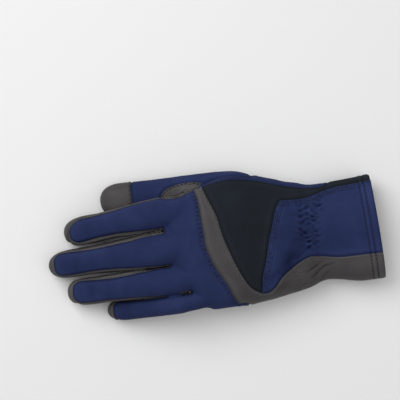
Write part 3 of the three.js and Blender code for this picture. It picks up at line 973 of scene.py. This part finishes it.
@dataclass(frozen=True)
class Slit:
    """The leather between two fingers: sizes in millimetres, and shades.

    Along a slit everything is full up to full_to and then fades, over long_fade beside the index finger and
    short_fade beside the others. long_low and short_low are how far under the middle the shade goes down.
    depth is the sunk line along its middle, shade the painted shade along it, and root_shade the extra
    painted shade at its root.
    room is how far the leather beside it puffs out, and rim how far from a sewn seam all this begins.
    """

    full_to: float = 18.0
    long_fade: float = 50.0
    short_fade: float = 16.0
    long_low: float = 9.0
    short_low: float = 3.0
    depth: float = 2.4
    depth_reach: float = 1.8
    depth_rise: float = 2.0
    shade: float = 1.4
    shade_reach: float = 2.8
    shade_rise: float = 1.5
    root_shade: float = 0.6
    root_reach: float = 20.0
    room: float = 2.4
    room_from: float = 0.2
    room_reach: float = 3.8
    room_rise: float = 4.5
    room_at: float = 34.0
    room_run: float = 32.0
    rim: float = 1.1


@dataclass(frozen=True)
class Gathers:
    """The puckers that the elastic makes round the wrist: sizes in millimetres, and shares.

    rows are the stitched rows' places, which slant across the hand and wander. Their dimples stand a pitch
    apart round the girth. A ripple lies between them. All fade towards a seam, by seam_reach, and are between
    weakest and strongest times as deep, or on_leather times as deep on the leather.
    """

    rows: tuple[float, ...] = (98.0, 102.5, 107.0, 110.5)
    girth: float = 172.0
    slant: float = 0.2
    pitch: float = 3.3
    jitter: float = 0.8
    depth: float = 0.65
    reach: float = 1.9
    sharpness: float = 1.8
    wander: float = 4.0
    ripple: float = 0.28
    ripple_at: float = 104.0
    ripple_reach: float = 10.0
    ripple_pitch: float = 1.3
    ripple_jitter: float = 1.5
    seam_reach: float = 2.5
    strength: float = 0.95
    swing: float = 1.1
    weakest: float = 0.45
    strongest: float = 1.5
    on_leather: float = 0.3
    noise_scale: tuple[float, float] = (0.11, 0.14)
    noise_level: float = 3.7
    strength_scale: float = 1.7
    strength_shift: tuple[float, float, float] = (9.0, 4.0, 1.0)


@dataclass(frozen=True)
class Hem:
    """The folded hem at the cuff's mouth, in millimetres: its sewn rows, its step up and its rounded edge."""

    rows: tuple[float, float] = (145.0, 148.6)
    row_depth: float = 0.6
    row_reach: float = 0.75
    step: float = 0.35
    step_before: float = 1.0
    step_reach: float = 0.5
    edge: float = 0.7
    edge_reach: float = 0.7


class SeamRelief:
    """The folds, gathers and wrinkles that sewing and wear give the skin."""

    SEWN = SewnEdge()
    SLIT = Slit()
    GATHERS = Gathers()
    HEM = Hem()
    SOFT = ((0.4, 0.05), (0.2, 0.12))  # the soft unevenness: heights in millimetres, and scales
    JOINTS = ((0.5, 0.14), (0.76, 0.2))  # finger joints' creases: share of the length, and depth
    JOINT_REACH = 3.5
    ON_FINGER = 0.12  # how far from a finger's surface, in q, its creases reach
    TAPER = 0.1  # the share of a half wave that is left out at each end of a wrinkle
    ABOVE = 1.5  # over what height the wrinkles end towards the palm's side, in millimetres
    FLOOR = 0.05  # the lowest that the skin lies, in millimetres
    # Creases and ridges in millimetres: start x and y, end x and y, half width and depth, a ridge's negative
    WRINKLES = (
        (97.0, -29.0, 111.0, -22.5, 1.2, 0.5),
        (99.5, -34.0, 112.5, -25.5, 1.1, 0.6),
        (106.0, -36.5, 113.0, -30.5, 1.0, 0.45),
        (109.0, -27.0, 119.0, -25.0, 0.9, 0.35),
        (72.0, -37.0, 84.0, -34.5, 2.2, 0.4),
        (67.0, -30.0, 86.0, -23.0, 3.5, 0.5),
        (82.0, -25.0, 93.0, -10.0, 5.0, 0.9),
        (93.0, -10.0, 104.0, 5.0, 4.0, 0.5),
        (33.0, 47.0, 44.0, 49.5, 1.6, 0.8),
        (36.0, 51.0, 60.0, 50.5, 1.8, -0.7),
        (44.0, 49.5, 68.0, 45.5, 1.8, 0.6),
        (-66.0, 30.0, -62.0, 17.0, 1.5, 0.5),
    )

    def __init__(self, shape: HandShape, bm: bmesh.types.BMesh) -> None:
        """Measures the skin.

        Args:
            shape: the glove's form.
            bm: the skin, cut along its seams.
        """
        self.shape = shape
        self.bm = bm
        bm.verts.index_update()
        bm.normal_update()
        self.places = np.array([v.co[:] for v in bm.verts])
        self.normals = np.array([v.normal[:] for v in bm.verts])
        self.panel = bm.faces.layers.int["panel"]

    def seam_height(self, distance: np.ndarray, styles: list[SeamStyle], folded: np.ndarray) -> np.ndarray:
        """Shapes the skin beside its seams.

        Args:
            distance: each vertex's distance from its nearest seam.
            styles: that seam's style.
            folded: whether the vertex is on a folded panel.

        Returns:
            How far the skin rises or dips.
        """
        lift = np.array([s.lift for s in styles])
        reach = np.array([s.reach for s in styles])
        valley = np.array([s.valley for s in styles])
        s = self.SEWN
        line = -s.line_share * valley * bell(distance, s.line_reach)
        edge = lift * (1 - bell(distance, s.fold_from)) * bell(distance, reach, 4)
        for k in range(max(len(style.rows) for style in STYLES)):
            row = np.array([style.rows[k] if k < len(style.rows) else math.inf for style in styles])
            edge -= s.row_depth * bell(distance - row, s.row_reach)
        beside = -s.line_share * valley * bell(distance - s.side_at, s.side_reach)
        puff = s.puff * bell(distance - s.puff_at, s.puff_reach)
        return line + np.where(folded, edge, beside + puff)

    def slits(self, distance: np.ndarray, styles: list[SeamStyle]) -> tuple[np.ndarray, np.ndarray]:
        """Shapes the leather between the fingers, and paints the shade that falls between them.

        Args:
            distance: each vertex's distance from its nearest seam.
            styles: that seam's style.

        Returns:
            How far the leather moves, in at the floor of each slit and out where two fingers stand apart, and
            the painted shade: how much darker the leather is painted deep inside the slit.
        """
        s = self.SLIT
        depth, out, shade = (np.zeros(len(self.places)) for _ in range(3))
        on = [self.shape.on_finger(finger, self.places) for finger in FINGERS]
        for upper, lower in zip(on, on[1:]):
            middle = (lower["u"] - lower["half_width"] + upper["half_width"] + upper["u"]) / 2
            run = self.shape.length(FINGERS[0]) * lower["t"]
            rise = (lower["w"] + upper["w"]) / 2
            fade, low = (s.long_fade, s.long_low) if upper is on[0] else (s.short_fade, s.short_low)
            full = bell(np.maximum(run - s.full_to, 0), fade)
            depth += step_up(rise, s.depth_rise, s.depth) * full * bell(middle, s.depth_reach, 4)
            # Painted shade: the leather deep between two fingers is painted darker, darkest at the slit's
            # root
            darkest = s.shade + s.root_shade * bell(run, s.root_reach)
            shade += step_up(rise + low, s.shade_rise, darkest) * full * bell(middle, s.shade_reach, 4)
            room = np.clip(np.abs(middle) - s.room_from, 0, s.room) * bell(middle, s.room_reach, 4)
            out += room * bell(rise, s.room_rise) * bell(run - s.room_at, s.room_run, 4)
        leather = np.array([PANELS[v.link_faces[0][self.panel]] in GUSSETS for v in self.bm.verts])
        sewn = np.array([style is not PLAIN_SEAM for style in styles])
        inside = leather * (1 - sewn * bell(distance, s.rim, 4))
        floor = np.clip(self.normals[:, 2], 0, 1) ** 2
        return inside * (out * (1 - floor) - depth * floor), shade * inside

    def gathers(self, distance: np.ndarray) -> np.ndarray:
        """Shapes the puckers that the elastic makes round the wrist.

        Args:
            distance: each vertex's distance from its nearest seam.

        Returns:
            How far the cloth rises or dips.
        """
        g = self.GATHERS
        x, y, z = self.places.T
        at = self.shape.hand(x)
        turn = np.arctan2((z - at["middle"]) / at["depth"], (y - at["side"]) / at["width"])
        around = turn / (2 * np.pi) * g.girth
        along, round_it = g.noise_scale
        spots = [Vector((a * along, b * round_it, g.noise_level)) for a, b in zip(x, around)]
        wander = np.array([noise.noise(spot) for spot in spots])
        shift = Vector(g.strength_shift)
        strength = np.array([noise.noise(spot * g.strength_scale + shift) for spot in spots])
        height = np.zeros(len(x))
        for row, middle in enumerate(g.rows):
            phase = around / g.pitch + 0.5 * row + g.jitter * wander
            dimple = (0.5 + 0.5 * np.cos(2 * np.pi * phase)) ** g.sharpness
            height -= g.depth * dimple * bell(x - middle - g.slant * y - g.wander * wander, g.reach)
        ripple = np.cos(2 * np.pi * (around / g.pitch / g.ripple_pitch + g.ripple_jitter * wander))
        height += g.ripple * ripple * bell(x - g.ripple_at - g.slant * y, g.ripple_reach)
        fade = 1 - bell(distance, g.seam_reach)
        return height * fade * np.clip(g.strength + g.swing * strength, g.weakest, g.strongest)

    def wrinkles(self) -> np.ndarray:
        """Shapes the long creases that wear leaves in the cloth and the leather.

        Returns:
            How far the skin rises or dips.
        """
        x, y, z = self.places.T
        height = np.zeros(len(x))
        above = step_up(z - self.shape.hand(x)["middle"], self.ABOVE)
        for x0, y0, x1, y1, width, depth in self.WRINKLES:
            run = np.array([x1 - x0, y1 - y0])
            t = np.clip(((x - x0) * run[0] + (y - y0) * run[1]) / (run @ run), 0, 1)
            gap = np.hypot(x - x0 - t * run[0], y - y0 - t * run[1])
            swell = np.sin(np.pi * (self.TAPER + (1 - 2 * self.TAPER) * t))
            height -= depth * swell * above * bell(gap, width)
        return height

    def softness(self) -> np.ndarray:
        """Returns: the gentle unevenness of soft cloth and leather."""
        spots = [Vector(spot) for spot in self.places]
        return sum(high * np.array([noise.noise(spot * wide) for spot in spots]) for high, wide in self.SOFT)

    def finger_creases(self) -> np.ndarray:
        """Shapes the dips across the backs of the finger joints.

        Returns:
            How far the skin dips, as heights under 0.
        """
        height = np.zeros(len(self.places))
        for finger in (*FINGERS, THUMB):
            at = self.shape.on_finger(finger, self.places)
            on_it = bell(at["q"] - 1, self.ON_FINGER)
            up = np.clip(at["w"] / at["half_depth"], 0, 1)
            for joint, deep in self.JOINTS:
                gap = (at["t"] - joint) * self.shape.length(finger)
                height -= deep * on_it * bell(gap, self.JOINT_REACH) * up
        return height

    def hem(self) -> np.ndarray:
        """Shapes the folded hem at the cuff's mouth, which dips along its two sewn rows.

        Returns:
            How far the cloth rises or dips.
        """
        h = self.HEM
        x = self.places[:, 0]
        height = step_up(x - h.rows[0] + h.step_before, h.step_reach, h.step)
        for row in h.rows:
            height -= h.row_depth * bell(x - row, h.row_reach)
        return height - h.edge * bell(self.shape.sizes.mouth_x - x, h.edge_reach)

    def cuff_only(self) -> np.ndarray:
        """Returns: 1 on the cuff's cloth, and how deep the gathers are on the leather beside it."""
        on = [PANELS[v.link_faces[0][self.panel]] in CUFF_CLOTH for v in self.bm.verts]
        return np.where(on, 1.0, self.GATHERS.on_leather)

    def apply(self) -> None:
        """Moves the skin, and keeps in the layer "relief" the seams', gathers', creases' and hem's height
        less the slits' painted shade, from which its finishes paint shade and highlight.
        """
        distance, styles, folded = nearest_seams(self.bm)
        height = self.seam_height(distance, styles, folded)
        slit, shade = self.slits(distance, styles)
        height += self.gathers(distance) * self.cuff_only()
        height += self.wrinkles() + self.finger_creases() + self.hem()
        moved = self.places + self.normals * (height + slit + self.softness())[:, None]
        moved[:, 2] = np.maximum(moved[:, 2], self.FLOOR)
        relief = self.bm.verts.layers.float.new("relief")
        # relief is the height less the slits' painted shade; the finishes paint shade and highlight from it
        for vert, spot, depth in zip(self.bm.verts, moved, (height - shade).tolist()):
            vert.co = spot
            vert[relief] = depth
        self.bm.normal_update()


class Stitching:
    """All the stitches, laid on the finished skin."""

    PITCH = 3.0
    LENGTH = 2.2
    RADIUS = 0.36
    LIFT = 0.08  # how far a stitch's middle lies over the skin, in millimetres
    FACETS = (6, 4)  # faces round a stitch and along it
    LEAST_LINE = 6  # a seam's line of no more places than this isn't sewn
    LEAST_ROW = 3  # nor is a row of fewer stitches than this
    EVENED = 6  # times that a seam's line is evened out
    RING_STEPS = 240  # places on a line round the cuff

    def __init__(self, shape: HandShape, bm: bmesh.types.BMesh) -> None:
        """Prepares the skin for laying threads on it.

        Args:
            shape: the glove's form.
            bm: the finished skin.
        """
        self.shape = shape
        self.bm = bm
        bm.faces.index_update()
        panel = bm.faces.layers.int["panel"]
        self.panels = [f[panel] for f in bm.faces]
        self.tree = BVHTree.FromBMesh(bm)
        self.meshes = {thread: bmesh.new() for thread in Thread}
        self.count = 0

    def chains(self, on: Panel, against: Panel) -> list[np.ndarray]:
        """Walks along the seam between two panels.

        Args:
            on: one panel.
            against: the other.

        Returns:
            The seam's smoothed lines as arrays of places.
        """
        wanted = {PANELS.index(on), PANELS.index(against)}
        panel = self.bm.faces.layers.int["panel"]
        links: dict[bmesh.types.BMVert, list[bmesh.types.BMVert]] = {}
        for edge in self.bm.edges:
            if len(edge.link_faces) == 2 and {f[panel] for f in edge.link_faces} == wanted:
                a, b = edge.verts
                links.setdefault(a, []).append(b)
                links.setdefault(b, []).append(a)
        lines = []
        starts = [v for v in links if len(links[v]) == 1] + list(links)
        used: set[bmesh.types.BMVert] = set()
        for start in starts:
            if start in used:
                continue
            line, here = [start], start
            used.add(start)
            while True:
                onward = [v for v in links[here] if v not in used]
                if not onward:
                    break
                here = onward[0]
                used.add(here)
                line.append(here)
            if len(line) > self.LEAST_LINE:
                lines.append(self.smoothed(np.array([v.co[:] for v in line])))
        return lines

    @classmethod
    def smoothed(cls, line: np.ndarray) -> np.ndarray:
        """Averages out a line's jags.

        Args:
            line: its places, which are changed.

        Returns:
            The same places.
        """
        for _ in range(cls.EVENED):
            line[1:-1] = 0.25 * line[:-2] + 0.5 * line[1:-1] + 0.25 * line[2:]
        return line

    @staticmethod
    def spaced(line: np.ndarray, pitch: float) -> np.ndarray:
        """Spaces places equally along a line.

        Args:
            line: its places.
            pitch: the spacing.

        Returns:
            The spaced places.
        """
        run = np.concatenate([[0], np.cumsum(np.linalg.norm(np.diff(line, axis=0), axis=1))])
        count = int(run[-1] / pitch)
        at = (np.arange(count + 1) + 0.5 * (run[-1] / pitch - count)) * pitch
        return np.column_stack([np.interp(at, run, line[:, k]) for k in range(3)])

    def sew(self, line: np.ndarray, offset: float, on: Panel | None, thread: Thread) -> None:
        """Lays one row of stitches.

        Args:
            line: the line that the row follows.
            offset: how far beside it the row lies.
            on: the panel that it lies on, or None to lie on the line itself.
            thread: the thread.
        """
        spots = self.spaced(line, self.PITCH)
        if len(spots) < self.LEAST_ROW:
            return
        round_it, along_it = self.FACETS
        size = Matrix.Diagonal((self.RADIUS, self.RADIUS, self.LENGTH / 2, 1))
        for spot, run in zip(spots, np.gradient(spots, axis=0)):
            place, normal, _, _ = self.tree.find_nearest(Vector(spot))
            run = Vector(run) - normal * Vector(run).dot(normal)
            if run.length < 1e-6:
                continue
            run.normalize()
            if on is not None:
                side, middle = normal.cross(run), place
                for way in (side, -side):
                    place, normal, index, _ = self.tree.find_nearest(middle + way * offset)
                    if PANELS[self.panels[index]] is on:
                        break
                else:
                    continue
            across = normal.cross(run).normalized()
            turn = Matrix((across, normal, run)).transposed().to_4x4()
            bmesh.ops.create_uvsphere(
                self.meshes[thread], u_segments=round_it, v_segments=along_it, radius=1,
                matrix=Matrix.Translation(place + normal * self.LIFT) @ turn @ size,
            )
            self.count += 1

    def ring(self, x: float) -> np.ndarray:
        """Draws a closed line round the cuff.

        Args:
            x: its place along the glove.

        Returns:
            Its places.
        """
        turns = np.linspace(0, 1, self.RING_STEPS)
        return self.shape.hand_place(np.full_like(turns, x / self.shape.sizes.skin_end), turns)

    def build(self) -> dict[Thread, bmesh.types.BMesh]:
        """Lays every row.

        Returns:
            The stitches' meshes by thread, in millimetres.
        """
        for style in STYLES:
            for on, against in ((a, b) for a in style.folded for b in style.other):
                for line in self.chains(on, against):
                    for offset in style.rows:
                        self.sew(line, offset, on, style.thread)
        for x in SeamRelief.HEM.rows:
            self.sew(self.ring(x), 0.0, None, Thread.DARK)
        return self.meshes


def add_node(
    tree: bpy.types.NodeTree,
    kind: str,
    feeds: dict[str | int, bpy.types.NodeSocket | float] | None = None,
    **settings: str,
) -> bpy.types.Node:
    """Adds a node to a material.

    Args:
        tree: the material's nodes.
        kind: the node's type.
        feeds: its inputs, by name or number, each with its value or the socket that feeds it.
        settings: its other settings.

    Returns:
        The node.
    """
    node = tree.nodes.new(f"ShaderNode{kind}")
    for name, value in settings.items():
        setattr(node, name, value)
    for name, value in (feeds or {}).items():
        if isinstance(value, bpy.types.NodeSocket):
            tree.links.new(value, node.inputs[name])
        else:
            node.inputs[name].default_value = value
    return node


@dataclass(frozen=True)
class Finish:
    """A cloth, leather or thread: its colour, grain and shine.

    colour, dark and light are linear colours. weave and grain are sizes in metres, 0 for none, and relief is
    the height of that weave or grain in metres.
    """

    name: str
    colour: tuple[float, float, float]
    dark: tuple[float, float, float]
    light: tuple[float, float, float]
    roughness: float
    sheen: float
    weave: float
    grain: float
    relief: float

    SHEEN_ROUGHNESS: ClassVar[float] = 0.4
    # A mottle of dark, plain and light places, each at its share of the noise's range
    MOTTLE: ClassVar[tuple[float, float]] = (45.0, 4.0)
    TONES: ClassVar[tuple[float, float, float]] = (0.3, 0.5, 0.72)
    # The skin's relief in millimetres, from sunk to raised, and how much of the colour and the shine is left
    # This paints shade and highlight: sunk seams, creases, dimples and slits darker and less shiny, raised
    # edges lighter
    SUNK_TO_RAISED: ClassVar[tuple[float, float]] = (-1.6, 0.6)
    LEFT: ClassVar[tuple[float, float]] = (0.05, 1.38)
    LEATHER_SHINE: ClassVar[float] = 0.3
    CLOTH_SHINE: ClassVar[float] = 0.12
    WAVE: ClassVar[float] = 0.314  # a wave texture repeats at this length over its scale
    WAVE_WANDER: ClassVar[float] = 0.6
    BUMP: ClassVar[float] = 0.5

    def material(self) -> bpy.types.Material:
        """Makes the finish.

        Returns:
            A procedural material that reads object coordinates and the skin's own layers, and paints shade
            and highlight from its relief.
        """
        made = bpy.data.materials.new(self.name)
        made.use_nodes = True
        tree = made.node_tree
        where = add_node(tree, "TexCoord").outputs["Object"]
        scale, detail = self.MOTTLE
        mottle = add_node(tree, "TexNoise", {"Vector": where, "Scale": scale, "Detail": detail})
        tone = add_node(tree, "ValToRGB", {"Fac": mottle.outputs["Fac"]})
        first, last = tone.color_ramp.elements
        first.position, middle, last.position = self.TONES
        first.color, last.color = (*self.dark, 1), (*self.light, 1)
        tone.color_ramp.elements.new(middle).color = (*self.colour, 1)
        relief = add_node(tree, "Attribute", attribute_name="relief").outputs["Fac"]
        left = dict(zip(("From Min", "From Max", "To Min", "To Max"), (*self.SUNK_TO_RAISED, *self.LEFT)))
        # Painted shade and highlight: the relief darkens the colour and the shine in sunk places and lightens
        # raised edges
        shade = add_node(tree, "MapRange", {"Value": relief, **left}).outputs["Result"]
        colour = add_node(tree, "VectorMath", {0: tone.outputs["Color"], "Scale": shade}, operation="SCALE")
        shine = self.LEATHER_SHINE if self.grain else self.CLOTH_SHINE
        dimmed = add_node(tree, "Math", {0: shade, 1: shine}, operation="MULTIPLY")
        height = self.woven(tree, where) if self.weave else self.grained(tree, where)
        bumps = {"Height": height, "Strength": self.BUMP, "Distance": self.relief}
        shader = tree.nodes["Principled BSDF"].inputs
        shader["Roughness"].default_value = self.roughness
        shader["Sheen Weight"].default_value = self.sheen
        shader["Sheen Roughness"].default_value = self.SHEEN_ROUGHNESS
        shader["Sheen Tint"].default_value = (*self.light, 1)
        tree.links.new(colour.outputs["Vector"], shader["Base Color"])
        tree.links.new(dimmed.outputs["Value"], shader["Specular IOR Level"])
        tree.links.new(add_node(tree, "Bump", bumps).outputs["Normal"], shader["Normal"])
        return made

    def woven(self, tree: bpy.types.NodeTree, where: bpy.types.NodeSocket) -> bpy.types.NodeSocket:
        """Weaves a cloth's threads.

        Args:
            tree: the material's nodes.
            where: its coordinates.

        Returns:
            The cloth's height.
        """
        scale = self.WAVE / self.weave
        feeds = {"Vector": where, "Scale": scale, "Distortion": self.WAVE_WANDER, "Detail": 1}
        warp, weft = (add_node(tree, "TexWave", feeds, bands_direction=way).outputs["Fac"] for way in "XY")
        return add_node(tree, "Math", {0: warp, 1: weft}, operation="MULTIPLY").outputs["Value"]

    def grained(self, tree: bpy.types.NodeTree, where: bpy.types.NodeSocket) -> bpy.types.NodeSocket:
        """Returns: the height of a leather's or a thread's grain, made in the tree at those coordinates."""
        return add_node(tree, "TexVoronoi", {"Vector": where, "Scale": 1 / self.grain}).outputs["Distance"]


NAVY = Finish(
    "navy stretch cloth", (0.0168, 0.026, 0.085), (0.0135, 0.0212, 0.072), (0.021, 0.0315, 0.097),
    roughness=0.8, sheen=0.12, weave=0.0009, grain=0.0, relief=0.00006,
)
CHARCOAL = Finish(
    "charcoal knit", (0.0112, 0.0148, 0.0205), (0.0095, 0.0125, 0.0172), (0.0132, 0.0175, 0.0243),
    roughness=0.85, sheen=0.08, weave=0.0011, grain=0.0, relief=0.00006,
)
LEATHER = Finish(
    "grey leather", (0.050, 0.0465, 0.049), (0.041, 0.038, 0.0405), (0.062, 0.058, 0.06),
    roughness=0.6, sheen=0.05, weave=0.0, grain=0.0011, relief=0.00008,
)
LINING = Finish(
    "dark lining", (0.012, 0.013, 0.018), (0.01, 0.011, 0.015), (0.015, 0.016, 0.021),
    roughness=0.9, sheen=0.2, weave=0.0012, grain=0.0, relief=0.00005,
)
# What the three threads have in common
SPUN = {"roughness": 0.6, "sheen": 0.1, "weave": 0.0, "grain": 0.0006, "relief": 0.00003}
DARK_THREAD = Finish(
    "dark thread", (0.006, 0.007, 0.013), (0.005, 0.006, 0.011), (0.008, 0.009, 0.016), **SPUN
)
NAVY_THREAD = Finish("navy thread", (0.011, 0.016, 0.05), (0.009, 0.013, 0.042), (0.014, 0.02, 0.06), **SPUN)
GREY_THREAD = Finish("grey thread", (0.09, 0.084, 0.083), (0.08, 0.075, 0.074), (0.1, 0.094, 0.092), **SPUN)
FINISHES = {"navy_fabric": NAVY, "charcoal_fabric": CHARCOAL, "grey_leather": LEATHER}
THREAD_FINISHES = {Thread.DARK: DARK_THREAD, Thread.NAVY: NAVY_THREAD, Thread.GREY: GREY_THREAD}
FABRIC_PANELS = (Panel.BACK, Panel.THUMB_BACK, Panel.RADIAL, Panel.CUFF_BACK, Panel.CUFF_FRONT)


class Pieces:
    """Turns the skin's panels and the stitches into finished pieces of the glove."""

    WALL = 1.3

    def __init__(self) -> None:
        """Makes the finishes."""
        self.finishes = {slot: finish.material() for slot, finish in FINISHES.items()}
        self.lining = LINING.material()
        self.to_frame = Matrix.Scale(MM, 4) @ Matrix.Translation((-MIDDLE[0], -MIDDLE[1], 0))

    @staticmethod
    def slot_of(panel: Panel) -> str:
        """Looks up a panel's finish.

        Args:
            panel: the panel.

        Returns:
            The record's slot for it.
        """
        if panel in FABRIC_PANELS:
            return "navy_fabric"
        return "charcoal_fabric" if panel is Panel.DART else "grey_leather"

    def place(
        self, bm: bmesh.types.BMesh, name: str, materials: list[bpy.types.Material]
    ) -> bpy.types.Object:
        """Makes an object of a mesh in millimetres.

        Args:
            bm: the mesh, which is freed.
            name: the piece's name.
            materials: its materials.

        Returns:
            The piece, riding on the glove's body.
        """
        bmesh.ops.transform(bm, matrix=self.to_frame, verts=bm.verts)
        for face in bm.faces:
            face.smooth = True
        mesh = bpy.data.meshes.new(name)
        bm.to_mesh(mesh)
        bm.free()
        for material in materials:
            mesh.materials.append(material)
        piece = bpy.data.objects.new(name, mesh)
        bpy.context.scene.collection.objects.link(piece)
        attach(piece, "root")
        return piece

    def panel(self, skin: bmesh.types.BMesh, panel: Panel) -> bpy.types.Object:
        """Makes one panel with its wall.

        Args:
            skin: the finished skin.
            panel: the panel.

        Returns:
            The piece.
        """
        bm = skin.copy()
        layer = bm.faces.layers.int["panel"]
        number = PANELS.index(panel)
        bmesh.ops.delete(bm, geom=[f for f in bm.faces if f[layer] != number], context="FACES")
        slot = self.slot_of(panel)
        piece = self.place(bm, f"{panel.value}_skin", [self.finishes[slot], self.lining])
        wall = piece.modifiers.new("wall", "SOLIDIFY")
        wall.thickness = self.WALL * MM
        wall.offset = -1
        wall.material_offset = 1
        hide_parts(panel.value)
        log.info("%s: %d faces", piece.name, len(piece.data.polygons))
        return piece

    def threads(self, meshes: dict[Thread, bmesh.types.BMesh]) -> None:
        """Makes the stitches' pieces.

        Args:
            meshes: the stitches by thread.
        """
        for thread, bm in meshes.items():
            name, slot = thread.value
            piece = self.place(bm, name, [THREAD_FINISHES[thread].material()])
            log.info("%s: %d faces", piece.name, len(piece.data.polygons))


@dataclass(frozen=True)
class Studio:
    """The floor, the light and the camera, in metres."""

    height: float = 1.2
    lens: float = 147.5
    turn: float = -9.5
    look_x: float = -0.00327
    look_y: float = 0.02935
    floor_half: float = 3.0
    floor_z: float = -0.0003
    pale: tuple[float, float, float, float] = (0.86, 0.86, 0.86, 1)
    sky: float = 0.3
    # Each lamp's name, place, side in metres and power in watts
    lamps: tuple[tuple[str, tuple[float, float, float], float, float], ...] = (
        ("key light", (-0.5, 0.7, 1.0), 0.9, 10),
        ("fill light", (0.8, -0.4, 1.1), 1.2, 3),
        ("top light", (0.0, 0.1, 1.6), 1.0, 5),
    )

    def floor(self) -> None:
        """Makes a plain pale floor just under the glove."""
        bm = bmesh.new()
        bmesh.ops.create_grid(bm, x_segments=1, y_segments=1, size=self.floor_half)
        bmesh.ops.translate(bm, verts=bm.verts, vec=(0, 0, self.floor_z))
        mesh = bpy.data.meshes.new("floor")
        bm.to_mesh(mesh)
        bm.free()
        matt = bpy.data.materials.new("pale floor")
        matt.use_nodes = True
        shader = matt.node_tree.nodes["Principled BSDF"]
        shader.inputs["Base Color"].default_value = self.pale
        shader.inputs["Roughness"].default_value = 0.9
        mesh.materials.append(matt)
        floor = bpy.data.objects.new("floor", mesh)
        bpy.context.scene.collection.objects.link(floor)

    @staticmethod
    def lamp(name: str, place: tuple[float, float, float], size: float, power: float) -> None:
        """Hangs one soft lamp that faces the glove.

        Args:
            name: its name.
            place: where it hangs, in metres.
            size: its side.
            power: its power in watts.
        """
        light = bpy.data.lights.new(name, "AREA")
        light.size = size
        light.energy = power
        lamp = bpy.data.objects.new(name, light)
        lamp.location = place
        lamp.rotation_euler = (-Vector(place)).to_track_quat("-Z", "Y").to_euler()
        bpy.context.scene.collection.objects.link(lamp)

    def build(self) -> None:
        """Sets the floor, the lamps, the sky and the camera."""
        self.floor()
        for lamp in self.lamps:
            self.lamp(*lamp)
        world = bpy.data.worlds.new("studio")
        world.use_nodes = True
        world.node_tree.nodes["Background"].inputs["Color"].default_value = (1, 1, 1, 1)
        world.node_tree.nodes["Background"].inputs["Strength"].default_value = self.sky
        bpy.context.scene.world = world
        bpy.context.scene.view_settings.view_transform = "Standard"
        data = bpy.data.cameras.new("camera")
        data.lens = self.lens
        data.clip_end = 20
        camera = bpy.data.objects.new("camera", data)
        camera.location = (self.look_x, self.look_y, self.height)
        camera.rotation_euler = (0, 0, math.radians(self.turn))
        bpy.context.scene.collection.objects.link(camera)
        bpy.context.scene.camera = camera


def main() -> None:
    """Builds the glove, dresses it and sets the studio."""
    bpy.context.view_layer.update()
    shape = HandShape(HandSizes())
    skin = GloveSkin(shape, PanelMap(shape)).build()
    log.info("skin: %d faces", len(skin.faces))
    SeamRelief(shape, skin).apply()
    stitching = Stitching(shape, skin)
    threads = stitching.build()
    log.info("stitches: %d", stitching.count)
    pieces = Pieces()
    for panel in Panel:
        pieces.panel(skin, panel)
    pieces.threads(threads)
    skin.free()
    Studio().build()


if __name__ == "__main__":
    main()
